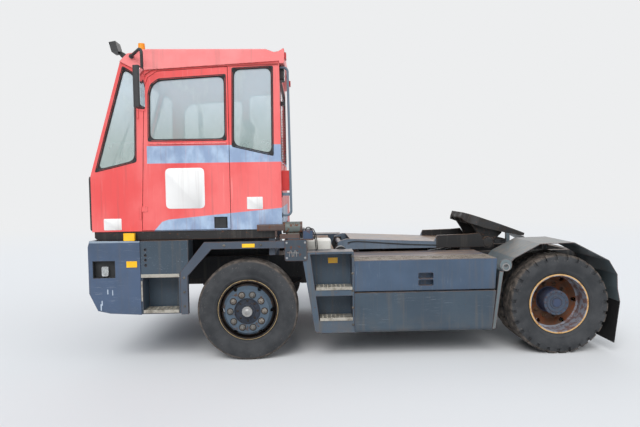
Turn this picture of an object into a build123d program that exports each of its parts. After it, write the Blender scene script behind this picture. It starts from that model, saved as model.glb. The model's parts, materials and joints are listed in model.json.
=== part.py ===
from build123d import *
import math
import os

# Terminal tractor, in mm: +X to the rear, +Y to the right-hand side, +Z up.
# The origin is on the ground, at the middle of the length and of the width.

os.makedirs("parts", exist_ok=True)

# Overall sizes
WHEELBASE = 3100.0
FRONT_OVERHANG = 1530.0
REAR_OVERHANG = 600.0
WIDTH = 2500.0
LENGTH = WHEELBASE + FRONT_OVERHANG + REAR_OVERHANG
FRONT_X = FRONT_OVERHANG - LENGTH / 2
REAR_X = FRONT_X + WHEELBASE
SIDE = WIDTH / 2
TAIL_X = REAR_X + REAR_OVERHANG
NOSE_X = FRONT_X - FRONT_OVERHANG

# Wheels and tyres
TYRE_R = 500.0
TYRE_WIDTH = 275.0
TREAD_HALF = 104.0
SHOULDER_DROP = 16.0
BEAD_R = 288.0
BEAD_HALF = 100.0
FLANGE_R = 299.0
RIM_WALL = 8.0
DUAL_SPACING = 310.0
AXLE_Z = TYRE_R
FRONT_WHEEL_Y = 1080.0
REAR_OUTER_Y = SIDE - TYRE_WIDTH / 2
REAR_INNER_Y = REAR_OUTER_Y - DUAL_SPACING
RUNNING_FIT = 0.05

# Steering
KINGPIN_Y = 940.0
KINGPIN_R = 25.0
SPINDLE_R = 36.0
STEER_ARM = 180.0
TIE_ROD_R = 16.0
TIE_PIN_R = 9.0

# Ladder frame
RAIL_OUT = 425.0
RAIL_WIDTH = 80.0
RAIL_WALL = 10.0
RAIL_TOP = 950.0
RAIL_DEPTH = 250.0
RAIL_BOTTOM = RAIL_TOP - RAIL_DEPTH
RAIL_IN = RAIL_OUT - RAIL_WIDTH
RAIL_FRONT_X = NOSE_X + 110
RAIL_REAR_X = TAIL_X - 60
SEAT_GAP = 0.3

# Bumper and bodywork
BUMPER_TOP = 1217.0
BUMPER_BOTTOM = 487.0
BUMPER_REAR_X = NOSE_X + 500
PLATE = 10.0
PANEL_Y = SIDE - 10

# Cab
CAB_LEFT = -1200.0
CAB_RIGHT = 400.0
CAB_WALL = 45.0
CAB_FLOOR_Z = 1300.0
CAB_FRONT_X = NOSE_X + 30
CAB_REAR_X = FRONT_X + 355
NOSE_TOP_Z = 1845.0
ROOF_TOP_Z = 3062.0
SCREEN_TOP_X = FRONT_X - 1180
SCREEN_TOP_Z = ROOF_TOP_Z - 117
EAVE_X = FRONT_X - 1010
EAVE_FRONT_Z = ROOF_TOP_Z - 204
EAVE_REAR_Z = ROOF_TOP_Z - 124
ROOF_REAR_X = FRONT_X + 408
ROOF_LIP = 15.0
PANE = 6.0
PANE_FIT = 0.3

# Door
DOOR_GAP = 5.0
DOOR_FRONT_LOW_X = FRONT_X - 1010
DOOR_FRONT_TOP_X = FRONT_X - 955
DOOR_REAR_X = FRONT_X - 150
DOOR_BOTTOM_Z = 1308.0
DOOR_KNEE_Z = ROOF_TOP_Z - 372
DOOR_TOP_FRONT_Z = ROOF_TOP_Z - 214
DOOR_TOP_REAR_Z = ROOF_TOP_Z - 177
HINGE_R = 8.0
HINGE_ZS = (1420.0, 2400.0)
HINGE_H = 70.0
HINGE_X = DOOR_FRONT_LOW_X - DOOR_GAP - HINGE_R
HINGE_Y = CAB_LEFT - HINGE_R

# Cab tilt hinge
TILT_X = FRONT_X - 1440
TILT_Z = 1255.0
TILT_R = 18.0
SUBFRAME_BOTTOM = 1212.0
SUBFRAME_H = CAB_FLOOR_Z - SUBFRAME_BOTTOM

# Lifting boom and fifth wheel
BOOM_PIVOT_X = FRONT_X + 980
BOOM_PIVOT_Z = 1040.0
BOOM_BOTTOM = 1000.0
BOOM_TOP = 1066.0
BOOM_CREST = (BOOM_PIVOT_X + 60, 1119.0)
BOOM_BEND_X = REAR_X - 900
BOOM_END_X = REAR_X - 540
BOOM_REST_X = REAR_X - 720
BOOM_PLATE = 12.0
PIVOT_R = 30.0
COUPLING_X = REAR_X - 460
COUPLING_Z = 1050.0
COUPLING_TILT = 19.4
COUPLING_RISE = 239.0
COUPLING_BOSS_R = 65.0
CHEEK_OUT = 340.0
CHEEK_IN = 305.0
CYL_FOOT_X = BOOM_PIVOT_X + 270
CYL_FOOT_Z = 820.0
CYL_HEAD_X = REAR_X - 800
CYL_HEAD_Z = 1000.0
CYL_Y = 215.0
CYL_R = 50.0
ROD_R = 28.0
CYL_PIN_R = 16.0
EYE_PLAY = 11.0

# Left and right, as name and sign of y
SIDES = (("left", -1), ("right", 1))


def across(y_high):
    """The upright lengthwise plane whose extrusions run from y_high to the left."""
    return Plane.XZ.offset(-y_high)


def at_side(sign, inner, outer):
    """The upright lengthwise plane for a piece between two distances from the middle."""
    return across(outer if sign > 0 else -inner)


def spin_plane(x):
    """Horizontal plane at axle height: local x is the radius, local y the car's y."""
    return Plane((x, 0, AXLE_Z))


def spin_axis(x):
    """The axle line of the wheels at x."""
    return Axis((x, 0, AXLE_Z), (0, 1, 0))


# Tyres: plain worn section, bead to bead
def tyre_outline(sign, centre):
    """Closed points of half a tyre's section, as radius and y."""
    section = (
        # radius, distance from the wheel's middle
        (BEAD_R, BEAD_HALF),
        (FLANGE_R + 2, BEAD_HALF),
        (FLANGE_R + 14, BEAD_HALF + 14),
        (BEAD_R + 60, BEAD_HALF + 25),
        (BEAD_R + 115, TYRE_WIDTH / 2),
        (TYRE_R - SHOULDER_DROP - 22, TYRE_WIDTH / 2 - 8),
        (TYRE_R - SHOULDER_DROP + 8, TREAD_HALF + 12),
        (TYRE_R, TREAD_HALF - 10),
    )
    near = [(r, sign * centre - y) for r, y in section]
    far = [(r, sign * centre + y) for r, y in reversed(section)]
    return near + far


for side, s in SIDES:
    with BuildPart() as tyre_front:
        with BuildSketch(spin_plane(FRONT_X)):
            with BuildLine():
                Polyline(*tyre_outline(s, FRONT_WHEEL_Y), close=True)
            make_face()
        revolve(axis=spin_axis(FRONT_X))
    tyre_front.part.label = f"tyre_front_{side}"
    export_step(tyre_front.part, f"parts/tyre_front_{side}.step")

    with BuildPart() as tyres_rear:
        for centre in (REAR_INNER_Y, REAR_OUTER_Y):
            with BuildSketch(spin_plane(REAR_X)):
                with BuildLine():
                    Polyline(*tyre_outline(s, centre), close=True)
                make_face()
            revolve(axis=spin_axis(REAR_X))
    tyres_rear.part.label = f"tyres_rear_{side}"
    export_step(tyres_rear.part, f"parts/tyres_rear_{side}.step")


# Front wheels: rim, outward-dished disc, hub, brake drum and cap
RIM_R = BEAD_R - PANE_FIT
DISC_OUT = 62.0
HUB_FACE_R = 215.0
HUB_CAP_R = 52.0
HUB_R = 75.0
RECESS_R = 130.0
RECESS = 20.0
DISC_T = 14.0
HAND_HOLES = 6
HAND_HOLE_R = 22.0
HAND_HOLE_AT = 244.0
DRUM_R = 205.0
DRUM_WALL = 16.0
DRUM_IN = FRONT_WHEEL_Y - 100
YOKE_FACE = 56.0
YOKE_T = 18.0
HUB_IN = KINGPIN_Y + YOKE_FACE + YOKE_T + 1
RIM_HALF = BEAD_HALF + 8
FACE_Y = FRONT_WHEEL_Y + RIM_HALF + DISC_OUT


def rim_rows(middle):
    """Rim barrel with its two flanges, as rows of r0, r1, y0, y1."""
    return (
        (RIM_R - RIM_WALL, RIM_R, middle - RIM_HALF, middle + RIM_HALF),
        (RIM_R - RIM_WALL, FLANGE_R, middle - RIM_HALF, middle - BEAD_HALF - PANE_FIT),
        (RIM_R - RIM_WALL, FLANGE_R, middle + BEAD_HALF + PANE_FIT, middle + RIM_HALF),
    )


def ring_sketch(rows, sign):
    """Rectangles of a section to be turned, from rows of r0, r1, y0, y1."""
    for r0, r1, y0, y1 in rows:
        with Locations(((r0 + r1) / 2, sign * (y0 + y1) / 2)):
            Rectangle(r1 - r0, y1 - y0)


for side, s in SIDES:
    disc_rows = (
        # r0, r1, y0, y1
        (SPINDLE_R + RUNNING_FIT, HUB_R, HUB_IN, FACE_Y - 8),
        (HUB_R - 4, DRUM_R, DRUM_IN + 100, DRUM_IN + 100 + DRUM_WALL),
        (DRUM_R - DRUM_WALL, DRUM_R, DRUM_IN, DRUM_IN + 100 + DRUM_WALL),
        (HUB_R - 4, RECESS_R + 4, FACE_Y - RECESS - DISC_T, FACE_Y - RECESS),
        (RECESS_R - 4, RECESS_R + 4, FACE_Y - RECESS - DISC_T, FACE_Y),
        (RECESS_R, HUB_FACE_R, FACE_Y - DISC_T, FACE_Y),
        (0, HUB_CAP_R, FACE_Y - 24, FACE_Y + 30),
    )
    with BuildPart() as wheel_front:
        with BuildSketch(spin_plane(FRONT_X)):
            ring_sketch(rim_rows(FRONT_WHEEL_Y), s)
            ring_sketch(disc_rows, s)
            with BuildLine():
                Polyline(
                    (HUB_FACE_R - 8, s * (FACE_Y - DISC_T)),
                    (HUB_FACE_R, s * FACE_Y),
                    (RIM_R - 3, s * (FRONT_WHEEL_Y + 34)),
                    (RIM_R - 3, s * (FRONT_WHEEL_Y + 14)),
                    close=True,
                )
            make_face()
        revolve(axis=spin_axis(FRONT_X))
        # Hand holes in the dish
        with BuildSketch(at_side(s, FRONT_WHEEL_Y + 20, FACE_Y + 1)):
            with Locations((FRONT_X, AXLE_Z)):
                with PolarLocations(HAND_HOLE_AT, HAND_HOLES):
                    Circle(HAND_HOLE_R)
        extrude(amount=FACE_Y - FRONT_WHEEL_Y - 19, mode=Mode.SUBTRACT)
    wheel_front.part.label = f"wheel_front_{side}"
    export_step(wheel_front.part, f"parts/wheel_front_{side}.step")


# Rear wheels: two dished rims face to face on a planetary hub
DUAL_MIDDLE_Y = (REAR_OUTER_Y + REAR_INNER_Y) / 2
PLANET_R = 127.0
PLANET_FACE_Y = REAR_OUTER_Y + RIM_HALF - 65
STUB_R = 52.0
REAR_DRUM_IN = REAR_INNER_Y - 90
DISH_HALF = 14.0
DISH_R = 205.0
STUB_END_Y = PLANET_FACE_Y - 40

for side, s in SIDES:
    hub_rows = (
        # r0, r1, y0, y1
        (STUB_R + RUNNING_FIT, PLANET_R, REAR_DRUM_IN + 40, PLANET_FACE_Y - 12),
        (0, PLANET_R - 14, STUB_END_Y + RUNNING_FIT, PLANET_FACE_Y),
        (0, PLANET_R, STUB_END_Y + RUNNING_FIT, PLANET_FACE_Y - 12),
        (0, HUB_CAP_R - 10, PLANET_FACE_Y - 6, PLANET_FACE_Y + 14),
        (PLANET_R - 5, DISH_R + 2, DUAL_MIDDLE_Y - DISH_HALF, DUAL_MIDDLE_Y + DISH_HALF),
        (DRUM_R - DRUM_WALL, DRUM_R, REAR_DRUM_IN, DUAL_MIDDLE_Y - DISH_HALF + 2),
    )
    with BuildPart() as wheels_rear:
        with BuildSketch(spin_plane(REAR_X)):
            ring_sketch(rim_rows(REAR_INNER_Y), s)
            ring_sketch(rim_rows(REAR_OUTER_Y), s)
            ring_sketch(hub_rows, s)
            for d in (-1, 1):
                with BuildLine():
                    Polyline(
                        (DISH_R, s * DUAL_MIDDLE_Y),
                        (DISH_R, s * (DUAL_MIDDLE_Y + d * DISH_HALF)),
                        (RIM_R - 3, s * (DUAL_MIDDLE_Y + d * 74)),
                        (RIM_R - 3, s * (DUAL_MIDDLE_Y + d * 58)),
                        (DISH_R + 8, s * DUAL_MIDDLE_Y),
                        close=True,
                    )
                make_face()
        revolve(axis=spin_axis(REAR_X))
        with BuildSketch(at_side(s, REAR_INNER_Y, REAR_OUTER_Y)):
            with Locations((REAR_X, AXLE_Z)):
                with PolarLocations(HAND_HOLE_AT, HAND_HOLES):
                    Circle(HAND_HOLE_R)
        extrude(amount=DUAL_SPACING, mode=Mode.SUBTRACT)
    wheels_rear.part.label = f"wheels_rear_{side}"
    export_step(wheels_rear.part, f"parts/wheels_rear_{side}.step")


# Steering knuckles: yoke round the beam's eye, kingpin, spindle and steering arm
EYE_R = 48.0
EYE_HALF = 58.0
EAR_T = 34.0
YOKE_GAP = 1.0
ARM_T = 18.0
ARM_Z = AXLE_Z - EYE_HALF - YOKE_GAP - EAR_T
TIE_Z = ARM_Z + ARM_T + 1 + TIE_ROD_R
SPINDLE_END_Y = FACE_Y - 30

for side, s in SIDES:
    kingpin = (FRONT_X, s * KINGPIN_Y)
    arm_end = (FRONT_X + STEER_ARM, s * KINGPIN_Y)
    ear_reach = YOKE_FACE + YOKE_T
    with BuildPart() as knuckle:
        for z0 in (AXLE_Z + EYE_HALF + YOKE_GAP, AXLE_Z - EYE_HALF - YOKE_GAP - EAR_T):
            with BuildSketch(Plane.XY.offset(z0)):
                with Locations(kingpin):
                    Circle(EYE_R)
                with Locations((FRONT_X, s * (KINGPIN_Y + ear_reach / 2))):
                    Rectangle(2 * EYE_R, ear_reach)
            extrude(amount=EAR_T)
        with BuildSketch(Plane.XY.offset(AXLE_Z - EYE_HALF - YOKE_GAP - EAR_T)):
            with Locations((FRONT_X, s * (KINGPIN_Y + YOKE_FACE + YOKE_T / 2))):
                Rectangle(2 * EYE_R, YOKE_T)
        extrude(amount=2 * (EYE_HALF + YOKE_GAP + EAR_T))
        with BuildSketch(Plane.XY.offset(AXLE_Z - EYE_HALF - YOKE_GAP - EAR_T)):
            with Locations(kingpin):
                Circle(KINGPIN_R)
        extrude(amount=2 * (EYE_HALF + YOKE_GAP + EAR_T))
        with BuildSketch(spin_plane(FRONT_X)):
            ring_sketch(((0, SPINDLE_R, KINGPIN_Y + YOKE_FACE + 2, SPINDLE_END_Y),), s)
        revolve(axis=spin_axis(FRONT_X))
        with BuildSketch(Plane.XY.offset(ARM_Z)):
            with Locations(arm_end):
                Circle(TIE_ROD_R + 4)
            with Locations((FRONT_X + STEER_ARM / 2, s * KINGPIN_Y)):
                Rectangle(STEER_ARM, 2 * TIE_ROD_R - 4)
        extrude(amount=ARM_T)
        with BuildSketch(Plane.XY.offset(ARM_Z)):
            with Locations(arm_end):
                Circle(TIE_PIN_R)
        extrude(amount=ARM_T + 2 * TIE_ROD_R + 5)
    knuckle.part.label = f"knuckle_{side}"
    export_step(knuckle.part, f"parts/knuckle_{side}.step")

# Tie rod: hangs on both arms' pins, with open play at its right-hand eye
with BuildPart() as tie_rod:
    with BuildSketch(Plane((FRONT_X + STEER_ARM, 0, TIE_Z), x_dir=(1, 0, 0), z_dir=(0, 1, 0))):
        Circle(TIE_ROD_R - 3)
    extrude(amount=KINGPIN_Y - TIE_ROD_R, both=True)
    for side, s in SIDES:
        with BuildSketch(Plane.XY.offset(TIE_Z - TIE_ROD_R)):
            with Locations((FRONT_X + STEER_ARM, s * KINGPIN_Y)):
                Circle(TIE_ROD_R + 4)
        extrude(amount=2 * TIE_ROD_R)
    for side, s in SIDES:
        play = RUNNING_FIT if s < 0 else 1.0
        with BuildSketch(Plane.XY.offset(TIE_Z - TIE_ROD_R)):
            with Locations((FRONT_X + STEER_ARM, s * KINGPIN_Y)):
                Circle(TIE_PIN_R + play)
        extrude(amount=2 * TIE_ROD_R, mode=Mode.SUBTRACT)
tie_rod.part.label = "tie_rod"
export_step(tie_rod.part, "parts/tie_rod.step")

# Front axle: dropped beam with an eye at each end
BEAM_H = 90.0
BEAM_W = 80.0
with BuildPart() as front_axle:
    with BuildSketch(Plane.YZ.offset(FRONT_X - BEAM_W / 2)):
        with BuildLine():
            Polyline(
                (-KINGPIN_Y, AXLE_Z + 40), (-620, AXLE_Z - 10), (620, AXLE_Z - 10),
                (KINGPIN_Y, AXLE_Z + 40), (KINGPIN_Y, AXLE_Z - 40), (640, AXLE_Z - 10 - BEAM_H),
                (-640, AXLE_Z - 10 - BEAM_H), (-KINGPIN_Y, AXLE_Z - 40),
                close=True,
            )
        make_face()
    extrude(amount=BEAM_W)
    with BuildSketch(Plane.XY.offset(AXLE_Z - EYE_HALF)):
        with Locations((FRONT_X, -KINGPIN_Y), (FRONT_X, KINGPIN_Y)):
            Circle(EYE_R)
    extrude(amount=2 * EYE_HALF)
    with BuildSketch(Plane.XY.offset(AXLE_Z - EYE_HALF)):
        with Locations((FRONT_X, -KINGPIN_Y), (FRONT_X, KINGPIN_Y)):
            Circle(KINGPIN_R + RUNNING_FIT)
    extrude(amount=2 * EYE_HALF, mode=Mode.SUBTRACT)
front_axle.part.label = "front_axle"
export_step(front_axle.part, "parts/front_axle.step")

# Leaf springs: curved packs from the rails' hangers over the beam
SPRING_Y = (RAIL_IN + RAIL_OUT) / 2
SPRING_W = 70.0
SPRING_T = 42.0
SPRING_HALF = 520.0
SPRING_MID_Z = AXLE_Z - 10 + SEAT_GAP
SPRING_END_Z = RAIL_BOTTOM - 60
with BuildPart() as leaf_springs:
    for s in (-1, 1):
        with BuildSketch(across(s * SPRING_Y + SPRING_W / 2)):
            with BuildLine():
                low = ThreePointArc(
                    (FRONT_X - SPRING_HALF, SPRING_END_Z),
                    (FRONT_X, SPRING_MID_Z),
                    (FRONT_X + SPRING_HALF, SPRING_END_Z),
                )
                Line(low @ 1, (FRONT_X + SPRING_HALF, SPRING_END_Z + SPRING_T / 2))
                ThreePointArc(
                    (FRONT_X + SPRING_HALF, SPRING_END_Z + SPRING_T / 2),
                    (FRONT_X, SPRING_MID_Z + SPRING_T),
                    (FRONT_X - SPRING_HALF, SPRING_END_Z + SPRING_T / 2),
                )
                Line((FRONT_X - SPRING_HALF, SPRING_END_Z + SPRING_T / 2), low @ 0)
            make_face()
        extrude(amount=SPRING_W)
leaf_springs.part.label = "leaf_springs"
export_step(leaf_springs.part, "parts/leaf_springs.step")

# Rear axle: casing with its differential, stubs for the twin wheels
with BuildPart() as rear_axle:
    with BuildSketch(spin_plane(REAR_X)):
        rows = (
            # r0, r1, y0, y1
            (0, 190, -150, 150),
            (0, 150, -230, 230),
            (0, 82, -600, 600),
            (0, 120, -640, -600),
            (0, 120, 600, 640),
            (0, STUB_R, -STUB_END_Y, STUB_END_Y),
        )
        ring_sketch(rows, 1)
    revolve(axis=spin_axis(REAR_X))
    for s in (-1, 1):
        with BuildSketch(Plane.XY.offset(AXLE_Z + 60)):
            with Locations((REAR_X, s * SPRING_Y)):
                Rectangle(180, RAIL_WIDTH)
        extrude(amount=RAIL_BOTTOM - SEAT_GAP - AXLE_Z - 60)
    fillet(rear_axle.edges().filter_by(GeomType.CIRCLE).filter_by(lambda e: e.radius == 190), 30)
rear_axle.part.label = "rear_axle"
export_step(rear_axle.part, "parts/rear_axle.step")

# Ladder frame: channel rails, cross members, hangers and the boom's brackets
CROSS_MEMBERS = (
    # x, z low, z high, half thickness
    (RAIL_FRONT_X + 60, RAIL_BOTTOM, RAIL_TOP, 40),
    (CYL_FOOT_X - 70, RAIL_BOTTOM + 60, RAIL_TOP, 25),
    (BOOM_REST_X + 40, RAIL_BOTTOM + 60, RAIL_TOP, 30),
    (RAIL_REAR_X - 40, RAIL_BOTTOM, RAIL_TOP, 40),
)
LUG_T = 20.0
TAIL_PLATE = 124.0
TAIL_PLATE_H = 210.0
TAIL_LAMP_Z = 825.0
with BuildPart() as frame:
    for s in (-1, 1):
        with BuildSketch(Plane.YZ.offset(RAIL_FRONT_X)):
            with Locations((s * SPRING_Y, (RAIL_TOP + RAIL_BOTTOM) / 2)):
                Rectangle(RAIL_WIDTH, RAIL_DEPTH)
            with Locations((s * (SPRING_Y - RAIL_WALL), (RAIL_TOP + RAIL_BOTTOM) / 2)):
                Rectangle(RAIL_WIDTH, RAIL_DEPTH - 2 * RAIL_WALL, mode=Mode.SUBTRACT)
        extrude(amount=RAIL_REAR_X - RAIL_FRONT_X)
    for x, z0, z1, half in CROSS_MEMBERS:
        with BuildSketch(Plane.XY.offset(z0)):
            with Locations((x, 0)):
                Rectangle(2 * half, 2 * (RAIL_OUT - RAIL_WALL / 2))
        extrude(amount=z1 - z0)
    # Front outriggers that carry the bumper and the cab's tilt brackets
    with BuildSketch(Plane.XY.offset(RAIL_TOP - 130)):
        with Locations((RAIL_FRONT_X + 60, 0)):
            Rectangle(80, 2 * (PANEL_Y - 250))
    extrude(amount=130)
    with BuildSketch(Plane.XY.offset(RAIL_BOTTOM)):
        with Locations((RAIL_FRONT_X + 60, 0)):
            Rectangle(80, 2 * (SIDE - PLATE - SEAT_GAP))
    extrude(amount=140)
    # Spring hangers under the rails
    for s in (-1, 1):
        for end in (-1, 1):
            with BuildSketch(across(s * SPRING_Y + SPRING_W / 2)):
                with Locations((FRONT_X + end * (SPRING_HALF + 30), RAIL_BOTTOM - 30)):
                    Rectangle(60 - 2 * SEAT_GAP, 80)
            extrude(amount=SPRING_W)
    # Boom pivot brackets and lift cylinder lugs
    for s in (-1, 1):
        with BuildSketch(at_side(s, RAIL_IN, RAIL_IN + 35)):
            with BuildLine():
                Polyline(
                    (BOOM_PIVOT_X - 90, RAIL_TOP - 10), (BOOM_PIVOT_X - 45, BOOM_PIVOT_Z + 40),
                    (BOOM_PIVOT_X + 45, BOOM_PIVOT_Z + 40), (BOOM_PIVOT_X + 45, RAIL_TOP - 10),
                    close=True,
                )
            make_face()
            with Locations((BOOM_PIVOT_X, BOOM_PIVOT_Z)):
                Circle(PIVOT_R + RUNNING_FIT, mode=Mode.SUBTRACT)
        extrude(amount=35)
        for y in (CYL_Y - 40, CYL_Y + 40):
            with BuildSketch(across(s * y + LUG_T / 2)):
                with Locations((CYL_FOOT_X - 30, CYL_FOOT_Z)):
                    Rectangle(60, 90)
                with Locations((CYL_FOOT_X, CYL_FOOT_Z)):
                    Circle(45)
            extrude(amount=LUG_T)
        with BuildSketch(across(s * CYL_Y + 50)):
            with Locations((CYL_FOOT_X, CYL_FOOT_Z)):
                Circle(CYL_PIN_R)
        extrude(amount=100)
    # Boom rest pads
    for s in (-1, 1):
        with BuildSketch(Plane.XY.offset(RAIL_TOP - 2)):
            with Locations((BOOM_REST_X, s * SPRING_Y)):
                Rectangle(120, 60)
        extrude(amount=BOOM_BOTTOM - SEAT_GAP - RAIL_TOP + 2)
    # Tail lamp plates at the rails' ends
    for s in (-1, 1):
        with BuildSketch(Plane.YZ.offset(RAIL_REAR_X - PLATE)):
            with Locations((s * (RAIL_OUT + TAIL_PLATE / 2 - 4), TAIL_LAMP_Z)):
                Rectangle(TAIL_PLATE, TAIL_PLATE_H)
        extrude(amount=PLATE)
    # Towing pin bore in the rear cross member
    with BuildSketch(Plane.XY.offset(RAIL_BOTTOM)):
        with Locations((RAIL_REAR_X - 40, 0)):
            Circle(20)
    extrude(amount=RAIL_DEPTH, mode=Mode.SUBTRACT)
frame.part.label = "frame"
export_step(frame.part, "parts/frame.step")

# Engine with its gearbox: one plain block between the rails
with BuildPart() as engine:
    with BuildSketch(Plane.XY.offset(620)):
        with Locations((FRONT_X - 310, 0)):
            Rectangle(980, 560)
    extrude(amount=540)
    with BuildSketch(Plane.XY.offset(600)):
        with Locations((FRONT_X + 530, 0)):
            Rectangle(720, 420)
    extrude(amount=330)
    # Mounting arms on the rails' lower flanges
    with BuildSketch(Plane.XY.offset(RAIL_BOTTOM + RAIL_WALL + SEAT_GAP)):
        with Locations((FRONT_X - 620, 0), (FRONT_X + 60, 0), (FRONT_X + 700, 0)):
            Rectangle(90, 2 * (RAIL_OUT - RAIL_WALL - SEAT_GAP))
    extrude(amount=60)
engine.part.label = "engine"
export_step(engine.part, "parts/engine.step")

# Propeller shaft from the gearbox to the differential
SHAFT_R = 45.0
SHAFT_FRONT = (FRONT_X + 890 + SEAT_GAP, 680.0)
SHAFT_REAR = (REAR_X - 188, AXLE_Z + 25)
shaft_run = Vector(SHAFT_REAR[0] - SHAFT_FRONT[0], 0, SHAFT_REAR[1] - SHAFT_FRONT[1])
with BuildPart() as propshaft:
    with BuildSketch(Plane((SHAFT_FRONT[0] + 4, 0, SHAFT_FRONT[1]), z_dir=shaft_run.normalized())):
        Circle(SHAFT_R)
    extrude(amount=shaft_run.length - 5.5)
propshaft.part.label = "propshaft"
export_step(propshaft.part, "parts/propshaft.step")

# Front bumper: formed shell round the front corners, with lamp openings on both sides of each corner post
BUMPER_LOW_X = NOSE_X + 80
LAMP_X0 = NOSE_X + 41
LAMP_X1 = NOSE_X + 257
LAMP_Y0 = SIDE - 360
LAMP_Y1 = SIDE - 70
LAMP_Z0 = 853.0
LAMP_Z1 = 1020.0
LAMP_MIDDLE_Z = (LAMP_Z0 + LAMP_Z1) / 2
with BuildPart() as bumper:
    with BuildSketch(across(SIDE)):
        with BuildLine():
            Polyline(
                (NOSE_X + 16, BUMPER_TOP), (NOSE_X, BUMPER_TOP - 60), (NOSE_X, 703),
                (BUMPER_LOW_X, 533), (BUMPER_LOW_X + 120, 505), (BUMPER_REAR_X, BUMPER_BOTTOM),
                (BUMPER_REAR_X, BUMPER_TOP - 8), close=True,
            )
        make_face()
    extrude(amount=2 * SIDE)
    with BuildSketch(across(SIDE - PLATE)):
        with BuildLine():
            Polyline(
                (NOSE_X + 50, BUMPER_TOP + 20), (NOSE_X + 50, BUMPER_TOP - 20),
                (NOSE_X + PLATE, BUMPER_TOP - 40), (NOSE_X + PLATE, 706), (BUMPER_LOW_X + PLATE, 540),
                (BUMPER_LOW_X + 130, 515), (BUMPER_REAR_X + 10, BUMPER_BOTTOM + 10),
                (BUMPER_REAR_X + 10, BUMPER_TOP + 20), close=True,
            )
        make_face()
    extrude(amount=2 * (SIDE - PLATE), mode=Mode.SUBTRACT)
    for s in (-1, 1):
        with BuildSketch(at_side(s, SIDE - PLATE - 1, SIDE + 1)):
            with Locations(((LAMP_X0 + LAMP_X1) / 2, LAMP_MIDDLE_Z)):
                Rectangle(LAMP_X1 - LAMP_X0, LAMP_Z1 - LAMP_Z0)
        extrude(amount=PLATE + 2, mode=Mode.SUBTRACT)
        with BuildSketch(Plane.YZ.offset(NOSE_X - 5)):
            with Locations((s * (LAMP_Y0 + LAMP_Y1) / 2, LAMP_MIDDLE_Z)):
                Rectangle(LAMP_Y1 - LAMP_Y0, LAMP_Z1 - LAMP_Z0)
        extrude(amount=PLATE + 10, mode=Mode.SUBTRACT)
bumper.part.label = "bumper"
export_step(bumper.part, "parts/bumper.step")

# Lamp housings: thin boxes in the bumper's openings, open to the outside
HOUSING = 60.0
FRONT_DEPTH = 48.0
HOUSING_T = 3.0
HOUSING_INSET = 3.0
HOUSING_H = LAMP_Z1 - LAMP_Z0 - 2 * SEAT_GAP
SIDE_HOUSING = LAMP_X1 - LAMP_X0 - 2 * SEAT_GAP
FRONT_HOUSING = LAMP_Y1 - LAMP_Y0 - 2 * SEAT_GAP
with BuildPart() as lamp_housings:
    for s in (-1, 1):
        outer_y = SIDE - HOUSING_INSET
        for wall, mode in ((0, Mode.ADD), (HOUSING_T, Mode.SUBTRACT)):
            with BuildSketch(at_side(s, outer_y - HOUSING + wall, outer_y)):
                with Locations(((LAMP_X0 + LAMP_X1) / 2, LAMP_MIDDLE_Z)):
                    Rectangle(SIDE_HOUSING - 2 * wall, HOUSING_H - 2 * wall)
            extrude(amount=HOUSING - wall, mode=mode)
            with BuildSketch(Plane.YZ.offset(NOSE_X + HOUSING_INSET)):
                with Locations((s * (LAMP_Y0 + LAMP_Y1) / 2, LAMP_MIDDLE_Z)):
                    Rectangle(FRONT_HOUSING - 2 * wall, HOUSING_H - 2 * wall)
            extrude(amount=FRONT_DEPTH - wall, mode=mode)
lamp_housings.part.label = "lamp_housings"
export_step(lamp_housings.part, "parts/lamp_housings.step")

# Head lamps: wide ones to the front, small ones to the side
LENS_T = 30.0
LENS_INSET = 8.0
SIDE_LENS = (NOSE_X + 149, 915.0, 58.0, 89.0)
with BuildPart() as head_lamps:
    for s in (-1, 1):
        with BuildSketch(Plane.YZ.offset(NOSE_X + LENS_INSET)):
            with Locations((s * (LAMP_Y0 + LAMP_Y1) / 2, LAMP_MIDDLE_Z)):
                Rectangle(
                    FRONT_HOUSING - 2 * (HOUSING_T + SEAT_GAP), HOUSING_H - 2 * (HOUSING_T + SEAT_GAP),
                )
        extrude(amount=LENS_T)
        lens_y0 = SIDE - HOUSING_INSET - HOUSING + HOUSING_T + SEAT_GAP
        with BuildSketch(at_side(s, lens_y0, lens_y0 + LENS_T)):
            with Locations(SIDE_LENS[:2]):
                RectangleRounded(SIDE_LENS[2], SIDE_LENS[3], 12)
        extrude(amount=LENS_T)
head_lamps.part.label = "head_lamps"
export_step(head_lamps.part, "parts/head_lamps.step")

# Front steps: box behind the bumper with a recess
STEP_DEPTH = 240.0
FRONT_STEP_X0 = BUMPER_REAR_X + SEAT_GAP
FRONT_STEP_X1 = FRONT_X - 646 - SEAT_GAP
FRONT_TREAD_Z = 500.0
FRONT_RECESS_TOP = 846.0
with BuildPart() as front_steps:
    for s in (-1, 1):
        with BuildSketch(at_side(s, PANEL_Y - STEP_DEPTH, PANEL_Y)):
            with BuildLine():
                Polyline(
                    (FRONT_STEP_X0, BUMPER_TOP - 10), (FRONT_X - 565, BUMPER_TOP - 10),
                    (FRONT_X - 565, 994), (FRONT_STEP_X1, 893), (FRONT_STEP_X1, 491),
                    (FRONT_STEP_X0, 491), close=True,
                )
            make_face()
        extrude(amount=STEP_DEPTH)
        with BuildSketch(at_side(s, PANEL_Y - STEP_DEPTH + 30, PANEL_Y + 1)):
            with Locations(((FRONT_STEP_X0 + FRONT_STEP_X1) / 2, (FRONT_TREAD_Z + FRONT_RECESS_TOP) / 2)):
                Rectangle(FRONT_STEP_X1 - FRONT_STEP_X0 - 36, FRONT_RECESS_TOP - FRONT_TREAD_Z)
        extrude(amount=STEP_DEPTH - 29, mode=Mode.SUBTRACT)
        # Row of round holes beside the bumper
        with BuildSketch(at_side(s, PANEL_Y - 20, PANEL_Y + 1)):
            with Locations(*((FRONT_STEP_X0 + 50, z) for z in (970, 1021, 1067, 1122))):
                Circle(13)
        extrude(amount=21, mode=Mode.SUBTRACT)
front_steps.part.label = "front_steps"
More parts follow.
